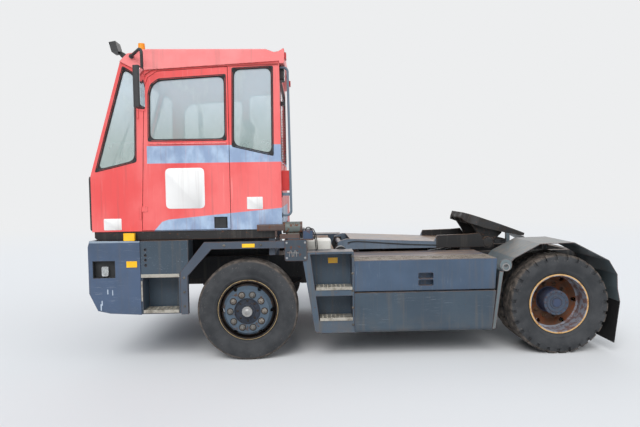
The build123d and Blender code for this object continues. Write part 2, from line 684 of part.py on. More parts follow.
export_step(front_steps.part, "parts/front_steps.step")

# Front arch guards: bent flat bar round the steered wheels
GUARD_Y = PANEL_Y - 60
with BuildPart() as arch_guards:
    for s in (-1, 1):
        with BuildSketch(at_side(s, GUARD_Y, PANEL_Y)):
            with BuildLine():
                Polyline(
                    (FRONT_X - 646, 480), (FRONT_X - 646, 893), (FRONT_X - 412, 1183),
                    (FRONT_X + 520, 1183), (FRONT_X + 520, 1030), (FRONT_X + 420, 1030),
                    (FRONT_X + 420, 1114), (FRONT_X - 340, 1114), (FRONT_X - 577, 858),
                    (FRONT_X - 577, 480), close=True,
                )
            make_face()
        extrude(amount=60)
arch_guards.part.label = "arch_guards"
export_step(arch_guards.part, "parts/arch_guards.step")

# Deck steps behind the front wheels: box with two recesses and a splash plate
DECK_X0 = FRONT_X + 575
DECK_X1 = FRONT_X + 1054
DECK_STEP_TOP = 1067.0
with BuildPart() as deck_steps:
    for s in (-1, 1):
        with BuildSketch(at_side(s, PANEL_Y - 260, PANEL_Y)):
            with BuildLine():
                Polyline(
                    (FRONT_X + 527, 1142), (FRONT_X + 560, 1142), (DECK_X0 + 20, DECK_STEP_TOP),
                    (DECK_X1, DECK_STEP_TOP), (DECK_X1, 263), (FRONT_X + 700, 263),
                    (FRONT_X + 660, 286), close=True,
                )
            make_face()
        extrude(amount=260)
        with BuildSketch(at_side(s, PANEL_Y - 240, PANEL_Y + 1)):
            with BuildLine():
                Polyline(
                    (FRONT_X + 625, 1045), (FRONT_X + 1036, 1045), (FRONT_X + 1036, 690),
                    (FRONT_X + 668, 690), close=True,
                )
            make_face()
            with BuildLine():
                Polyline(
                    (FRONT_X + 675, 630), (FRONT_X + 1036, 630), (FRONT_X + 1036, 385),
                    (FRONT_X + 706, 385), close=True,
                )
            make_face()
        extrude(amount=241, mode=Mode.SUBTRACT)
deck_steps.part.label = "deck_steps"
export_step(deck_steps.part, "parts/deck_steps.step")

# Step treads and edge strips in aluminium
with BuildPart() as step_treads:
    for s in (-1, 1):
        # x0, x1, z low, depth
        treads = (
            (FRONT_STEP_X0 + 20, FRONT_STEP_X1 - 20, FRONT_TREAD_Z + SEAT_GAP, 190),
            (FRONT_X + 680, FRONT_X + 1034, 690 + SEAT_GAP, 190),
            (FRONT_X + 712, FRONT_X + 1034, 385 + SEAT_GAP, 190),
        )
        for x0, x1, z0, depth in treads:
            with BuildSketch(Plane.XY.offset(z0)):
                with Locations(((x0 + x1) / 2, s * (PANEL_Y - depth / 2 + 8))):
                    Rectangle(x1 - x0, depth)
            extrude(amount=28)
        # Edge strips on the front step's box
        strips = (
            # x0, x1, z0, z1
            (FRONT_STEP_X0 + 2, FRONT_STEP_X1 - 10, FRONT_RECESS_TOP + 4, FRONT_RECESS_TOP + 36),
            (FRONT_STEP_X0 + 1, FRONT_STEP_X0 + 14, FRONT_TREAD_Z + 118, FRONT_RECESS_TOP - 29),
        )
        with BuildSketch(at_side(s, PANEL_Y + SEAT_GAP, PANEL_Y + 6)):
            for x0, x1, z0, z1 in strips:
                with Locations(((x0 + x1) / 2, (z0 + z1) / 2)):
                    Rectangle(x1 - x0, z1 - z0)
        extrude(amount=6 - SEAT_GAP)
step_treads.part.label = "step_treads"
export_step(step_treads.part, "parts/step_treads.step")

# Side tanks: lower tank with a sloped rear end, and its cover with two foot slots
TANK_X0 = DECK_X1 + SEAT_GAP
TANK_X1 = REAR_X - 686
TANK_Z0 = 258.0
TANK_Z1 = 655.0
COVER_X1 = REAR_X - 622
COVER_Z0 = 668.0
COVER_Z1 = 970.0
COVER_Y = SIDE - 24
for side, s in SIDES:
    with BuildPart() as tank:
        with BuildSketch(at_side(s, RAIL_OUT + 60, SIDE)):
            with BuildLine():
                Polyline(
                    (TANK_X0, TANK_Z0), (TANK_X1, TANK_Z0), (TANK_X1 + 44, TANK_Z1),
                    (TANK_X0, TANK_Z1), close=True,
                )
            make_face()
        extrude(amount=SIDE - RAIL_OUT - 60)
        fillet(tank.edges().filter_by(Axis.X).group_by(Axis.Z)[0], 40)
    tank.part.label = f"tank_{side}"
    export_step(tank.part, f"parts/tank_{side}.step")

with BuildPart() as tank_covers:
    for s in (-1, 1):
        with BuildSketch(at_side(s, RAIL_OUT + SEAT_GAP, COVER_Y)):
            with BuildLine():
                Polyline(
                    (TANK_X0, COVER_Z0), (COVER_X1 - 22, COVER_Z0), (COVER_X1, COVER_Z1),
                    (TANK_X0, COVER_Z1), close=True,
                )
            make_face()
        extrude(amount=COVER_Y - RAIL_OUT - SEAT_GAP)
        with BuildSketch(at_side(s, RAIL_OUT + 80, COVER_Y - 30)):
            with Locations(((TANK_X0 + COVER_X1) / 2, TANK_Z1 + SEAT_GAP + 6.2)):
                Rectangle(COVER_X1 - TANK_X0 - 520, 13)
        extrude(amount=COVER_Y - 30 - RAIL_OUT - 80)
        for z in (742, 810):
            with BuildSketch(at_side(s, COVER_Y - 70, COVER_Y + 1)):
                with Locations(((TANK_X0 + COVER_X1) / 2, z)):
                    RectangleRounded(149, 60, 14)
            extrude(amount=71, mode=Mode.SUBTRACT)
tank_covers.part.label = "tank_covers"
export_step(tank_covers.part, "parts/tank_covers.step")

# Deck plate between the cab and the boom, on its bearers
with BuildPart() as deck_plate:
    with BuildSketch(Plane.XY.offset(DECK_STEP_TOP - 28)):
        with Locations((FRONT_X + 728, 0)):
            Rectangle(296, 2 * (PANEL_Y - 262))
    extrude(amount=10)
    for x in (FRONT_X + 600, FRONT_X + 850):
        with BuildSketch(Plane.XY.offset(RAIL_TOP + SEAT_GAP)):
            with Locations((x, 0)):
                Rectangle(40, 2 * (PANEL_Y - 262))
        extrude(amount=DECK_STEP_TOP - 28 - RAIL_TOP - SEAT_GAP)
deck_plate.part.label = "deck_plate"
export_step(deck_plate.part, "parts/deck_plate.step")

# Coolant reservoir on the deck, and a round canister on the inner face of the deck steps
with BuildPart() as reservoir:
    with BuildSketch(Plane.XY.offset(DECK_STEP_TOP - 18 + SEAT_GAP)):
        with Locations((FRONT_X + 717, -(PANEL_Y - 400))):
            RectangleRounded(256, 220, 30)
    extrude(amount=115)
    fillet(reservoir.faces().sort_by(Axis.Z)[-1].edges(), 20)
    with BuildSketch(across(-(PANEL_Y - 360))):
        with Locations((DECK_X1 - 112, 1030)):
            Circle(62)
    extrude(amount=100 - SEAT_GAP)
reservoir.part.label = "reservoir"
export_step(reservoir.part, "parts/reservoir.step")

# Rear wings: bent plate over the twin wheels, with a flanged front leg and a lashing eye
WING = 6.0
WING_IN = 550.0
WING_LINE = (
    # x from the rear axle, z, and the step to the inner face in x and z
    (-656, 275, WING, 0),
    (-574, 842, WING, -2),
    (-463, 974, 4, -WING),
    (-200, 1110, 1, -WING),
    (140, 1116, -1, -WING),
    (488, 932, -5, -4),
    (572, 790, -WING, -1),
    (576, 649, -WING, 0),
    (600, 516, -WING, 0),
)
LASHING_EYE = (-544, 905, 62)
with BuildPart() as rear_wings:
    for s in (-1, 1):
        outer = [(REAR_X + x, z) for x, z, dx, dz in WING_LINE]
        inner = [(REAR_X + x + dx, z + dz) for x, z, dx, dz in WING_LINE]
        with BuildSketch(at_side(s, WING_IN, SIDE)):
            with BuildLine():
                Polyline(*outer, *reversed(inner), close=True)
            make_face()
        extrude(amount=SIDE - WING_IN)
        with BuildSketch(at_side(s, SIDE - WING, SIDE)):
            with BuildLine():
                Polyline(
                    (REAR_X - 682, 267), (REAR_X - 652, 275), (REAR_X - 570, 842), (REAR_X - 608, 843),
                    close=True,
                )
            make_face()
        extrude(amount=WING)
        eye = (REAR_X + LASHING_EYE[0], LASHING_EYE[1])
        with BuildSketch(at_side(s, SIDE - 2 * WING, SIDE)):
            with Locations(eye):
                Circle(LASHING_EYE[2])
        extrude(amount=2 * WING)
        with BuildSketch(at_side(s, SIDE - 2 * WING, SIDE)):
            with Locations(eye):
                Ellipse(16, 22.5)
        extrude(amount=2 * WING, mode=Mode.SUBTRACT)
        # Brackets from the rail to the wing
        for x in (REAR_X - 120, REAR_X + 120):
            with BuildSketch(Plane.XY.offset(RAIL_TOP - 120)):
                with Locations((x, s * ((RAIL_OUT + WING_IN + 60) / 2 + SEAT_GAP))):
                    Rectangle(50, WING_IN + 60 - RAIL_OUT)
            extrude(amount=60)
            with BuildSketch(Plane.XY.offset(RAIL_TOP - 120)):
                with Locations((x, s * (WING_IN + 40))):
                    Rectangle(50, 40)
            extrude(amount=280)
rear_wings.part.label = "rear_wings"
export_step(rear_wings.part, "parts/rear_wings.step")

# Mud flaps hang from the wings' tails and lean in at the foot
FLAP = 7.0
FLAP_LEAN = 56.0
FLAP_BOTTOM = 105.0
FLAP_TOP = WING_LINE[-1][1] - SEAT_GAP
with BuildPart() as mud_flaps:
    for s in (-1, 1):
        with BuildSketch(at_side(s, WING_IN, SIDE)):
            with BuildLine():
                Polyline(
                    (TAIL_X, FLAP_TOP), (TAIL_X - FLAP, FLAP_TOP), (TAIL_X - FLAP - FLAP_LEAN, FLAP_BOTTOM),
                    (TAIL_X - FLAP_LEAN, FLAP_BOTTOM), close=True,
                )
            make_face()
        extrude(amount=SIDE - WING_IN)
mud_flaps.part.label = "mud_flaps"
export_step(mud_flaps.part, "parts/mud_flaps.step")

# Marker lamps on both sides, and the tail lamps on their plates
with BuildPart() as marker_lamps:
    for s in (-1, 1):
        lamps = (
            # x0, x1, z0, z1, y0, y1
            (NOSE_X + 369, NOSE_X + 471, 954, 1014, SIDE + SEAT_GAP, SIDE + 6),
            (NOSE_X + 345, NOSE_X + 450, BUMPER_TOP - 5, BUMPER_TOP + 69, SIDE - 45, SIDE - 5),
            (FRONT_X - 39, FRONT_X + 84, 1127, 1163, PANEL_Y + SEAT_GAP, PANEL_Y + 7),
            (DECK_X1 - 246, DECK_X1 - 149, 926, 982, PANEL_Y - 240 + SEAT_GAP, PANEL_Y - 235.2),
        )
        for x0, x1, z0, z1, y0, y1 in lamps:
            with BuildSketch(at_side(s, y0, y1)):
                with Locations(((x0 + x1) / 2, (z0 + z1) / 2)):
                    Rectangle(x1 - x0, z1 - z0)
            extrude(amount=y1 - y0)
        with BuildSketch(Plane.YZ.offset(RAIL_REAR_X + SEAT_GAP)):
            with Locations((s * (RAIL_OUT + TAIL_PLATE / 2), TAIL_LAMP_Z)):
                Rectangle(TAIL_PLATE - 28, TAIL_PLATE_H - 80)
        extrude(amount=40)
marker_lamps.part.label = "marker_lamps"
export_step(marker_lamps.part, "parts/marker_lamps.step")

# Cab latch on the left: plate and shelf at the guard's rear, with the catch, its cylinder and its bar
LATCH_X = FRONT_X + 376
LATCH_Y = -(PANEL_Y + SEAT_GAP)
SHELF_Z = 1188.0
CATCH_Z = 1312.0
with BuildPart() as cab_latch:
    with BuildSketch(across(LATCH_Y)):
        with Locations((LATCH_X + 110, SHELF_Z - 98)):
            RectangleRounded(221, 212, 25)
    extrude(amount=9.5)
    # x0, x1, y0, y1, z0, z1 of the shelf, the catch, the valve block and the stop
    blocks = (
        (LATCH_X, LATCH_X + 284, -SIDE, -SIDE + 110, SHELF_Z, SHELF_Z + 8),
        (LATCH_X + 32, LATCH_X + 149, -SIDE + 10, -SIDE + 110, SHELF_Z + 2, SHELF_Z + 72),
        (LATCH_X + 182, LATCH_X + 281, -SIDE + 15, -SIDE + 100, SHELF_Z + 2, SHELF_Z + 94),
        (LATCH_X - 45, LATCH_X + 36, -SIDE + 10, -SIDE + 70, SHELF_Z + 16, SHELF_Z + 61),
    )
    for x0, x1, y0, y1, z0, z1 in blocks:
        with BuildSketch(Plane.XY.offset(z0)):
            with Locations(((x0 + x1) / 2, (y0 + y1) / 2)):
                Rectangle(x1 - x0, y1 - y0)
        extrude(amount=z1 - z0)
    with BuildSketch(Plane.YZ.offset(LATCH_X - 14)):
        with Locations((-SIDE + 65, CATCH_Z)):
            Circle(57)
    extrude(amount=191)
    with BuildSketch(Plane.YZ.offset(LATCH_X - 265)):
        with Locations((-SIDE + 22, CATCH_Z + 4)):
            RectangleRounded(38, 64, 12)
    extrude(amount=270)
    with BuildSketch(Plane.XY.offset(CATCH_Z - 90)):
        with Locations((LATCH_X - 81, -SIDE + 22)):
            Circle(12)
    extrude(amount=68)
cab_latch.part.label = "cab_latch"
export_step(cab_latch.part, "parts/cab_latch.step")

# Engine hood on the right, with its front grille of slats
HOOD_LEFT = CAB_RIGHT + 25
HOOD_RIGHT = SIDE - 50
HOOD_TOP = 1690.0
with BuildPart() as engine_hood:
    with BuildSketch(across(HOOD_RIGHT)):
        with BuildLine():
            Polyline(
                (NOSE_X + 40, BUMPER_TOP + SEAT_GAP), (NOSE_X + 60, 1520), (NOSE_X + 220, HOOD_TOP),
                (CAB_REAR_X - 60, HOOD_TOP), (CAB_REAR_X, 1600), (CAB_REAR_X, BUMPER_TOP + SEAT_GAP), close=True,
            )
        make_face()
    extrude(amount=HOOD_RIGHT - HOOD_LEFT)
    with BuildSketch(Plane.YZ.offset(NOSE_X)):
        with Locations(((HOOD_LEFT + HOOD_RIGHT) / 2, 1370)):
            Rectangle(600, 240)
    extrude(amount=110, mode=Mode.SUBTRACT)
    for i in range(6):
        with BuildSketch(Plane.XY.offset(1262 + 38 * i)):
            with Locations((NOSE_X + 80, (HOOD_LEFT + HOOD_RIGHT) / 2)):
                Rectangle(40, 600)
        extrude(amount=10)
engine_hood.part.label = "engine_hood"
export_step(engine_hood.part, "parts/engine_hood.step")

# Cab tilt brackets at the front and rests at the rear
TILT_YS = (CAB_LEFT + 320, CAB_RIGHT - 200)
REST_X = FRONT_X + 250
REST_Z0 = 1040.0
REST_Z1 = 1100.0
with BuildPart() as cab_mounts:
    for y in TILT_YS:
        for d in (-1, 1):
            with BuildSketch(across(y + d * 35 + 8)):
                with BuildLine():
                    Polyline(
                        (TILT_X - 35, RAIL_TOP + SEAT_GAP), (TILT_X - 25, TILT_Z + 25),
                        (TILT_X + 25, TILT_Z + 25), (TILT_X + 60, RAIL_TOP + SEAT_GAP), close=True,
                    )
                make_face()
            extrude(amount=16)
        with BuildSketch(across(y + 43)):
            with Locations((TILT_X, TILT_Z)):
                Circle(TILT_R)
        extrude(amount=86)
    for y in (CAB_LEFT + 50, CAB_RIGHT - 50):
        with BuildSketch(Plane.XY.offset(REST_Z0)):
            with Locations((REST_X, y)):
                Rectangle(60, 50)
        extrude(amount=SUBFRAME_BOTTOM - REST_Z0 - SEAT_GAP)
    with BuildSketch(Plane.XY.offset(REST_Z0)):
        with Locations((REST_X, (CAB_LEFT + CAB_RIGHT) / 2)):
            Rectangle(60, CAB_RIGHT - CAB_LEFT - 100)
    extrude(amount=REST_Z1 - REST_Z0)
    with BuildSketch(Plane.XY.offset(RAIL_TOP + SEAT_GAP)):
        with Locations((REST_X, -SPRING_Y), (REST_X, SPRING_Y)):
            Rectangle(60, RAIL_WIDTH)
    extrude(amount=REST_Z0 - RAIL_TOP)
cab_mounts.part.label = "cab_mounts"
export_step(cab_mounts.part, "parts/cab_mounts.step")

# Cab subframe: two black beams under the floor, with the tilt hinge eyes
with BuildPart() as cab_subframe:
    for y in (CAB_LEFT + 50, CAB_RIGHT - 50):
        with BuildSketch(across(y + 40)):
            with BuildLine():
                Polyline(
                    (CAB_FRONT_X + 20, SUBFRAME_BOTTOM + 30), (CAB_FRONT_X + 20, CAB_FLOOR_Z),
                    (CAB_REAR_X - 60, CAB_FLOOR_Z), (CAB_REAR_X - 60, SUBFRAME_BOTTOM),
                    (CAB_FRONT_X + 60, SUBFRAME_BOTTOM), close=True,
                )
            make_face()
        extrude(amount=80)
    for x in (TILT_X + 80, CAB_REAR_X - 120):
        with BuildSketch(Plane.XY.offset(CAB_FLOOR_Z - 50)):
            with Locations((x, (CAB_LEFT + CAB_RIGHT) / 2)):
                Rectangle(60, CAB_RIGHT - CAB_LEFT - 100)
        extrude(amount=50)
    for y in TILT_YS:
        with BuildSketch(across(y + 22)):
            with Locations((TILT_X, TILT_Z)):
                Circle(TILT_R + 20)
            with Locations((TILT_X + 45, TILT_Z + 20)):
                Rectangle(90, 36)
        extrude(amount=44)
        with BuildSketch(across(y + 22)):
            with Locations((TILT_X, TILT_Z)):
                Circle(TILT_R + RUNNING_FIT)
        extrude(amount=44, mode=Mode.SUBTRACT)
cab_subframe.part.label = "cab_subframe"
export_step(cab_subframe.part, "parts/cab_subframe.step")

# Cab shell
rake = (SCREEN_TOP_X - CAB_FRONT_X) / (SCREEN_TOP_Z - NOSE_TOP_Z)
CAB_MIDDLE = (CAB_LEFT + CAB_RIGHT) / 2


def rake_x(z, inset=0.0):
    """The windscreen's x at height z, set back by inset."""
    return CAB_FRONT_X + (z - NOSE_TOP_Z) * rake + inset


SCREEN_LOW_Z = 1905.0
SCREEN_HIGH_Z = ROOF_TOP_Z - 162
QUARTER = (
    # x, z of the quarter glass, from its lower front corner
    (rake_x(1895, CAB_WALL), 1895),
    (FRONT_X - 1060, 1985),
    (FRONT_X - 1040, ROOF_TOP_Z - 242),
    (rake_x(ROOF_TOP_Z - 172, CAB_WALL), ROOF_TOP_Z - 172),
)
REAR_SIDE = (
    (FRONT_X - 96, ROOF_TOP_Z - 197),
    (FRONT_X - 112, 2121),
    (FRONT_X + 275, 2029),
    (FRONT_X + 284, ROOF_TOP_Z - 182),
)
REAR_GLASS = (CAB_MIDDLE, ROOF_TOP_Z - 662, CAB_RIGHT - CAB_LEFT - 300, 820)


def door_points(grow):
    """The door's outline, grown by a gap on every side."""
    return (
        (DOOR_FRONT_LOW_X - grow, DOOR_BOTTOM_Z - grow),
        (DOOR_FRONT_TOP_X - grow, DOOR_KNEE_Z),
        (DOOR_FRONT_TOP_X + 40 - grow * 0.7, DOOR_KNEE_Z + 100 + grow * 0.7),
        (DOOR_FRONT_TOP_X + 130, DOOR_TOP_FRONT_Z + grow),
        (DOOR_REAR_X + grow, DOOR_TOP_REAR_Z + grow),
        (DOOR_REAR_X + grow, DOOR_BOTTOM_Z - grow),
    )


DOOR_GLASS = (
    # x, z of the door's window
    (FRONT_X - 924, 2184),
    (FRONT_X - 912, ROOF_TOP_Z - 422),
    (FRONT_X - 885, ROOF_TOP_Z - 342),
    (FRONT_X - 815, ROOF_TOP_Z - 292),
    (FRONT_X - 175, ROOF_TOP_Z - 257),
    (FRONT_X - 180, 2184),
)

with BuildPart() as cab_shell:
    with BuildSketch(across(CAB_RIGHT)):
        with BuildLine():
            Polyline(
                (CAB_FRONT_X, CAB_FLOOR_Z), (CAB_FRONT_X, NOSE_TOP_Z), (SCREEN_TOP_X, SCREEN_TOP_Z),
                (EAVE_X, EAVE_FRONT_Z), (CAB_REAR_X, EAVE_REAR_Z - 4), (CAB_REAR_X, CAB_FLOOR_Z),
                close=True,
            )
        make_face()
    extrude(amount=CAB_RIGHT - CAB_LEFT)
    with BuildSketch(across(CAB_RIGHT - CAB_WALL)):
        with BuildLine():
            Polyline(
                (CAB_FRONT_X + CAB_WALL, CAB_FLOOR_Z + CAB_WALL), (CAB_FRONT_X + CAB_WALL, NOSE_TOP_Z),
                (rake_x(ROOF_TOP_Z, CAB_WALL), ROOF_TOP_Z), (CAB_REAR_X - CAB_WALL, ROOF_TOP_Z),
                (CAB_REAR_X - CAB_WALL, CAB_FLOOR_Z + CAB_WALL), close=True,
            )
        make_face()
    extrude(amount=CAB_RIGHT - CAB_LEFT - 2 * CAB_WALL, mode=Mode.SUBTRACT)
    # Windscreen and rear window
    with BuildSketch(Plane.YZ.offset(CAB_FRONT_X - 5)):
        with Locations((CAB_MIDDLE, (SCREEN_LOW_Z + SCREEN_HIGH_Z) / 2)):
            Rectangle(CAB_RIGHT - CAB_LEFT - 2 * CAB_WALL - 20, SCREEN_HIGH_Z - SCREEN_LOW_Z)
    extrude(amount=500, mode=Mode.SUBTRACT)
    with BuildSketch(Plane.YZ.offset(CAB_REAR_X - CAB_WALL - 1)):
        with Locations((REAR_GLASS[0], REAR_GLASS[1])):
            RectangleRounded(REAR_GLASS[2], REAR_GLASS[3], 60)
    extrude(amount=CAB_WALL + 2, mode=Mode.SUBTRACT)
    # Quarter and rear side windows, on both sides
    with BuildSketch(across(CAB_RIGHT + 1)):
        with BuildLine():
            Polyline(*QUARTER, close=True)
        make_face()
        with BuildLine():
            Polyline(*REAR_SIDE, close=True)
        make_face()
    extrude(amount=CAB_RIGHT - CAB_LEFT + 2, mode=Mode.SUBTRACT)
    # Door opening on the left, fixed window on the right
    with BuildSketch(across(CAB_LEFT + CAB_WALL + 1)):
        with BuildLine():
            Polyline(*door_points(DOOR_GAP), close=True)
        make_face()
    extrude(amount=CAB_WALL + 2, mode=Mode.SUBTRACT)
    with BuildSketch(across(CAB_RIGHT + 1)):
        with BuildLine():
            Polyline(*DOOR_GLASS, close=True)
        make_face()
    extrude(amount=CAB_WALL + 2, mode=Mode.SUBTRACT)
    # Door hinge barrels
    for z in HINGE_ZS:
        with BuildSketch(Plane.XY.offset(z)):
            with Locations((HINGE_X, HINGE_Y)):
                Circle(HINGE_R)
            with Locations((HINGE_X - HINGE_R / 2, HINGE_Y + HINGE_R / 2)):
                Rectangle(HINGE_R, HINGE_R)
        extrude(amount=HINGE_H)
cab_shell.part.label = "cab_shell"
export_step(cab_shell.part, "parts/cab_shell.step")

# Cab roof: hollow cap with a lip over the walls, a brow over the screen and a dip near the rear
ROOF_BROW = (FRONT_X - 1105, ROOF_TOP_Z - 42)
ROOF_TIP = (FRONT_X - 1161, ROOF_TOP_Z - 96)
ROOF_CROWN = (FRONT_X - 1018, ROOF_TOP_Z - 6)
with BuildPart() as cab_roof:
    with BuildSketch(across(CAB_RIGHT + ROOF_LIP)):
        with BuildLine():
            Polyline(
                (SCREEN_TOP_X, SCREEN_TOP_Z), (EAVE_X, EAVE_FRONT_Z), (CAB_REAR_X, EAVE_REAR_Z - 4),
                (CAB_REAR_X + SEAT_GAP, EAVE_REAR_Z - 26), (ROOF_REAR_X - 5, EAVE_REAR_Z - 26),
                (ROOF_REAR_X, EAVE_REAR_Z), (ROOF_REAR_X, ROOF_TOP_Z - 20), (ROOF_REAR_X - 9, ROOF_TOP_Z - 7),
                (ROOF_REAR_X - 59, ROOF_TOP_Z - 37), (ROOF_REAR_X - 103, ROOF_TOP_Z - 43),
                (ROOF_REAR_X - 189, ROOF_TOP_Z - 11), (FRONT_X - 909, ROOF_TOP_Z), ROOF_CROWN,
                (ROOF_CROWN[0] - 36, ROOF_TOP_Z - 36), ROOF_BROW, ROOF_TIP, close=True,
            )
        make_face()
    extrude(amount=CAB_RIGHT - CAB_LEFT + 2 * ROOF_LIP)
    fillet(cab_roof.edges().filter_by(Axis.X, tolerance=2).group_by(Axis.Z)[-1], 12)
    with BuildSketch(across(CAB_RIGHT - CAB_WALL)):
        with BuildLine():
            Polyline(
                (rake_x(SCREEN_TOP_Z - 10, CAB_WALL), SCREEN_TOP_Z - 10), (FRONT_X - 1000, ROOF_TOP_Z - 40),
                (ROOF_REAR_X - 228, ROOF_TOP_Z - 50), (CAB_REAR_X - CAB_WALL, ROOF_TOP_Z - 77),
                (CAB_REAR_X - CAB_WALL, EAVE_FRONT_Z - 40), (EAVE_X, EAVE_FRONT_Z - 40), close=True,
            )
        make_face()
    extrude(amount=CAB_RIGHT - CAB_LEFT - 2 * CAB_WALL, mode=Mode.SUBTRACT)
cab_roof.part.label = "cab_roof"
export_step(cab_roof.part, "parts/cab_roof.step")

# Cab fittings: grab pipe, work lamps and beacon, with the connector box and the hose's gland behind the cab
PIPE_R = 12.0
PIPE_Y = CAB_LEFT + 50
PIPE_TOP = EAVE_REAR_Z - 55
PIPE_BOTTOM = 1432.0
HOSE_R = 22.0
HOSE_X = CAB_REAR_X + 2 + HOSE_R
HOSE_Y = CAB_LEFT + 125
BOX_TOP = 1875.0
GLAND_Z = BOX_TOP + 645
FLOOD_Y = CAB_LEFT + 150
FLOOD_W = 150.0
BEACON_Y = CAB_LEFT + 200
with BuildPart() as cab_fittings:
    with BuildLine() as pipe_path:
        FilletPolyline(
            (CAB_REAR_X + SEAT_GAP, PIPE_Y, PIPE_TOP), (CAB_REAR_X + 79, PIPE_Y, PIPE_TOP),
            (CAB_REAR_X + 91, PIPE_Y, PIPE_BOTTOM), (CAB_REAR_X + SEAT_GAP, PIPE_Y, PIPE_BOTTOM), radius=45,
        )
    with BuildSketch(Plane(pipe_path.line @ 0, z_dir=(1, 0, 0))):
        Circle(PIPE_R)
    sweep(path=pipe_path.line)
    with BuildSketch(Plane.YZ.offset(CAB_REAR_X + SEAT_GAP)):
        with Locations((PIPE_Y, PIPE_TOP), (PIPE_Y, PIPE_BOTTOM)):
            Circle(PIPE_R + 14)
        with Locations((PIPE_Y, 1640)):
            Rectangle(40, 60)
    extrude(amount=6)
    with BuildSketch(Plane.YZ.offset(CAB_REAR_X + SEAT_GAP)):
        with Locations((PIPE_Y, 1640)):
            Rectangle(10, 30)
    extrude(amount=90)
    # Rear work lamp, gland and lamps at the roof's rear corners
    with BuildSketch(Plane.YZ.offset(CAB_REAR_X + SEAT_GAP)):
        with Locations((CAB_LEFT + 155, ROOF_TOP_Z - 232)):
            RectangleRounded(160, 126, 18)
    extrude(amount=42)
    with BuildSketch(Plane.YZ.offset(CAB_REAR_X + SEAT_GAP)):
        with Locations((HOSE_Y, GLAND_Z + 20)):
            Rectangle(2 * HOSE_R, 40)
    extrude(amount=2 * HOSE_R + 2)
    with BuildSketch(Plane.YZ.offset(ROOF_REAR_X + SEAT_GAP)):
        with Locations((CAB_LEFT + 60, ROOF_TOP_Z - 72), (CAB_RIGHT - 60, ROOF_TOP_Z - 72)):
            Rectangle(110, 56)
    extrude(amount=16)
    # Flood lamp on its bracket at the brow
    with BuildSketch(across(FLOOD_Y + FLOOD_W / 2)):
        with BuildLine():
            Polyline(
                (FRONT_X - 1307, ROOF_TOP_Z + 92), (FRONT_X - 1242, ROOF_TOP_Z + 103),
                (FRONT_X - 1216, ROOF_TOP_Z + 6), (FRONT_X - 1280, ROOF_TOP_Z - 4), close=True,
            )
        make_face()
    extrude(amount=FLOOD_W)
    slope = (Vector(*ROOF_BROW) - Vector(*ROOF_TIP)).normalized()
    foot_front = Vector(*ROOF_TIP) + slope * 14 + Vector(-slope.Y, slope.X) * SEAT_GAP
    foot_rear = Vector(*ROOF_BROW) - slope * 4 + Vector(-slope.Y, slope.X) * SEAT_GAP
    with BuildSketch(across(FLOOD_Y + 15)):
        with BuildLine():
            Polyline(
                (FRONT_X - 1232, ROOF_TOP_Z + 18), (FRONT_X - 1187, ROOF_TOP_Z + 5),
                (foot_rear.X, foot_rear.Y), (foot_front.X, foot_front.Y), (FRONT_X - 1208, ROOF_TOP_Z - 42),
                (FRONT_X - 1240, ROOF_TOP_Z + 2), close=True,
            )
        make_face()
    extrude(amount=30)
    # Beacon on the crown
    with BuildSketch(across(BEACON_Y + 45)):
        with BuildLine():
            Polyline(
                (ROOF_CROWN[0], ROOF_CROWN[1] + SEAT_GAP), (ROOF_CROWN[0] + 50, ROOF_CROWN[1] + 3.2),
                (ROOF_CROWN[0] + 50, ROOF_TOP_Z + 12), (ROOF_CROWN[0] - 60, ROOF_TOP_Z + 12),
                (ROOF_CROWN[0] - 60, ROOF_TOP_Z - 4), close=True,
            )
        make_face()
    extrude(amount=90)
    with BuildSketch(Plane.XY.offset(ROOF_TOP_Z + 10)):
        with Locations((ROOF_CROWN[0] - 5, BEACON_Y)):
            Circle(38)
    extrude(amount=93, taper=4)
cab_fittings.part.label = "cab_fittings"
export_step(cab_fittings.part, "parts/cab_fittings.step")

with BuildPart() as connector_box:
    with BuildSketch(Plane.YZ.offset(CAB_REAR_X + SEAT_GAP)):
        with Locations((HOSE_Y, BOX_TOP - 100)):
            Rectangle(100, 200)
    extrude(amount=75)
connector_box.part.label = "connector_box"
export_step(connector_box.part, "parts/connector_box.step")

# Curly air hose, as a fat tube from the gland down to the box
with BuildPart() as air_hose:
    with BuildSketch(Plane.XY.offset(BOX_TOP)):
        with Locations((HOSE_X, HOSE_Y)):
            Circle(HOSE_R)
    extrude(amount=GLAND_Z - BOX_TOP)
air_hose.part.label = "air_hose"
export_step(air_hose.part, "parts/air_hose.step")

# Nose panel below the windscreen
with BuildPart() as nose_panel:
    with BuildSketch(Plane.YZ.offset(NOSE_X + 12)):
        with Locations((CAB_MIDDLE, (CAB_FLOOR_Z + 12 + NOSE_TOP_Z - 2) / 2)):
            RectangleRounded(CAB_RIGHT - CAB_LEFT - 8, NOSE_TOP_Z - CAB_FLOOR_Z - 14, 30)
    extrude(amount=CAB_FRONT_X - SEAT_GAP - NOSE_X - 12)
nose_panel.part.label = "nose_panel"
export_step(nose_panel.part, "parts/nose_panel.step")

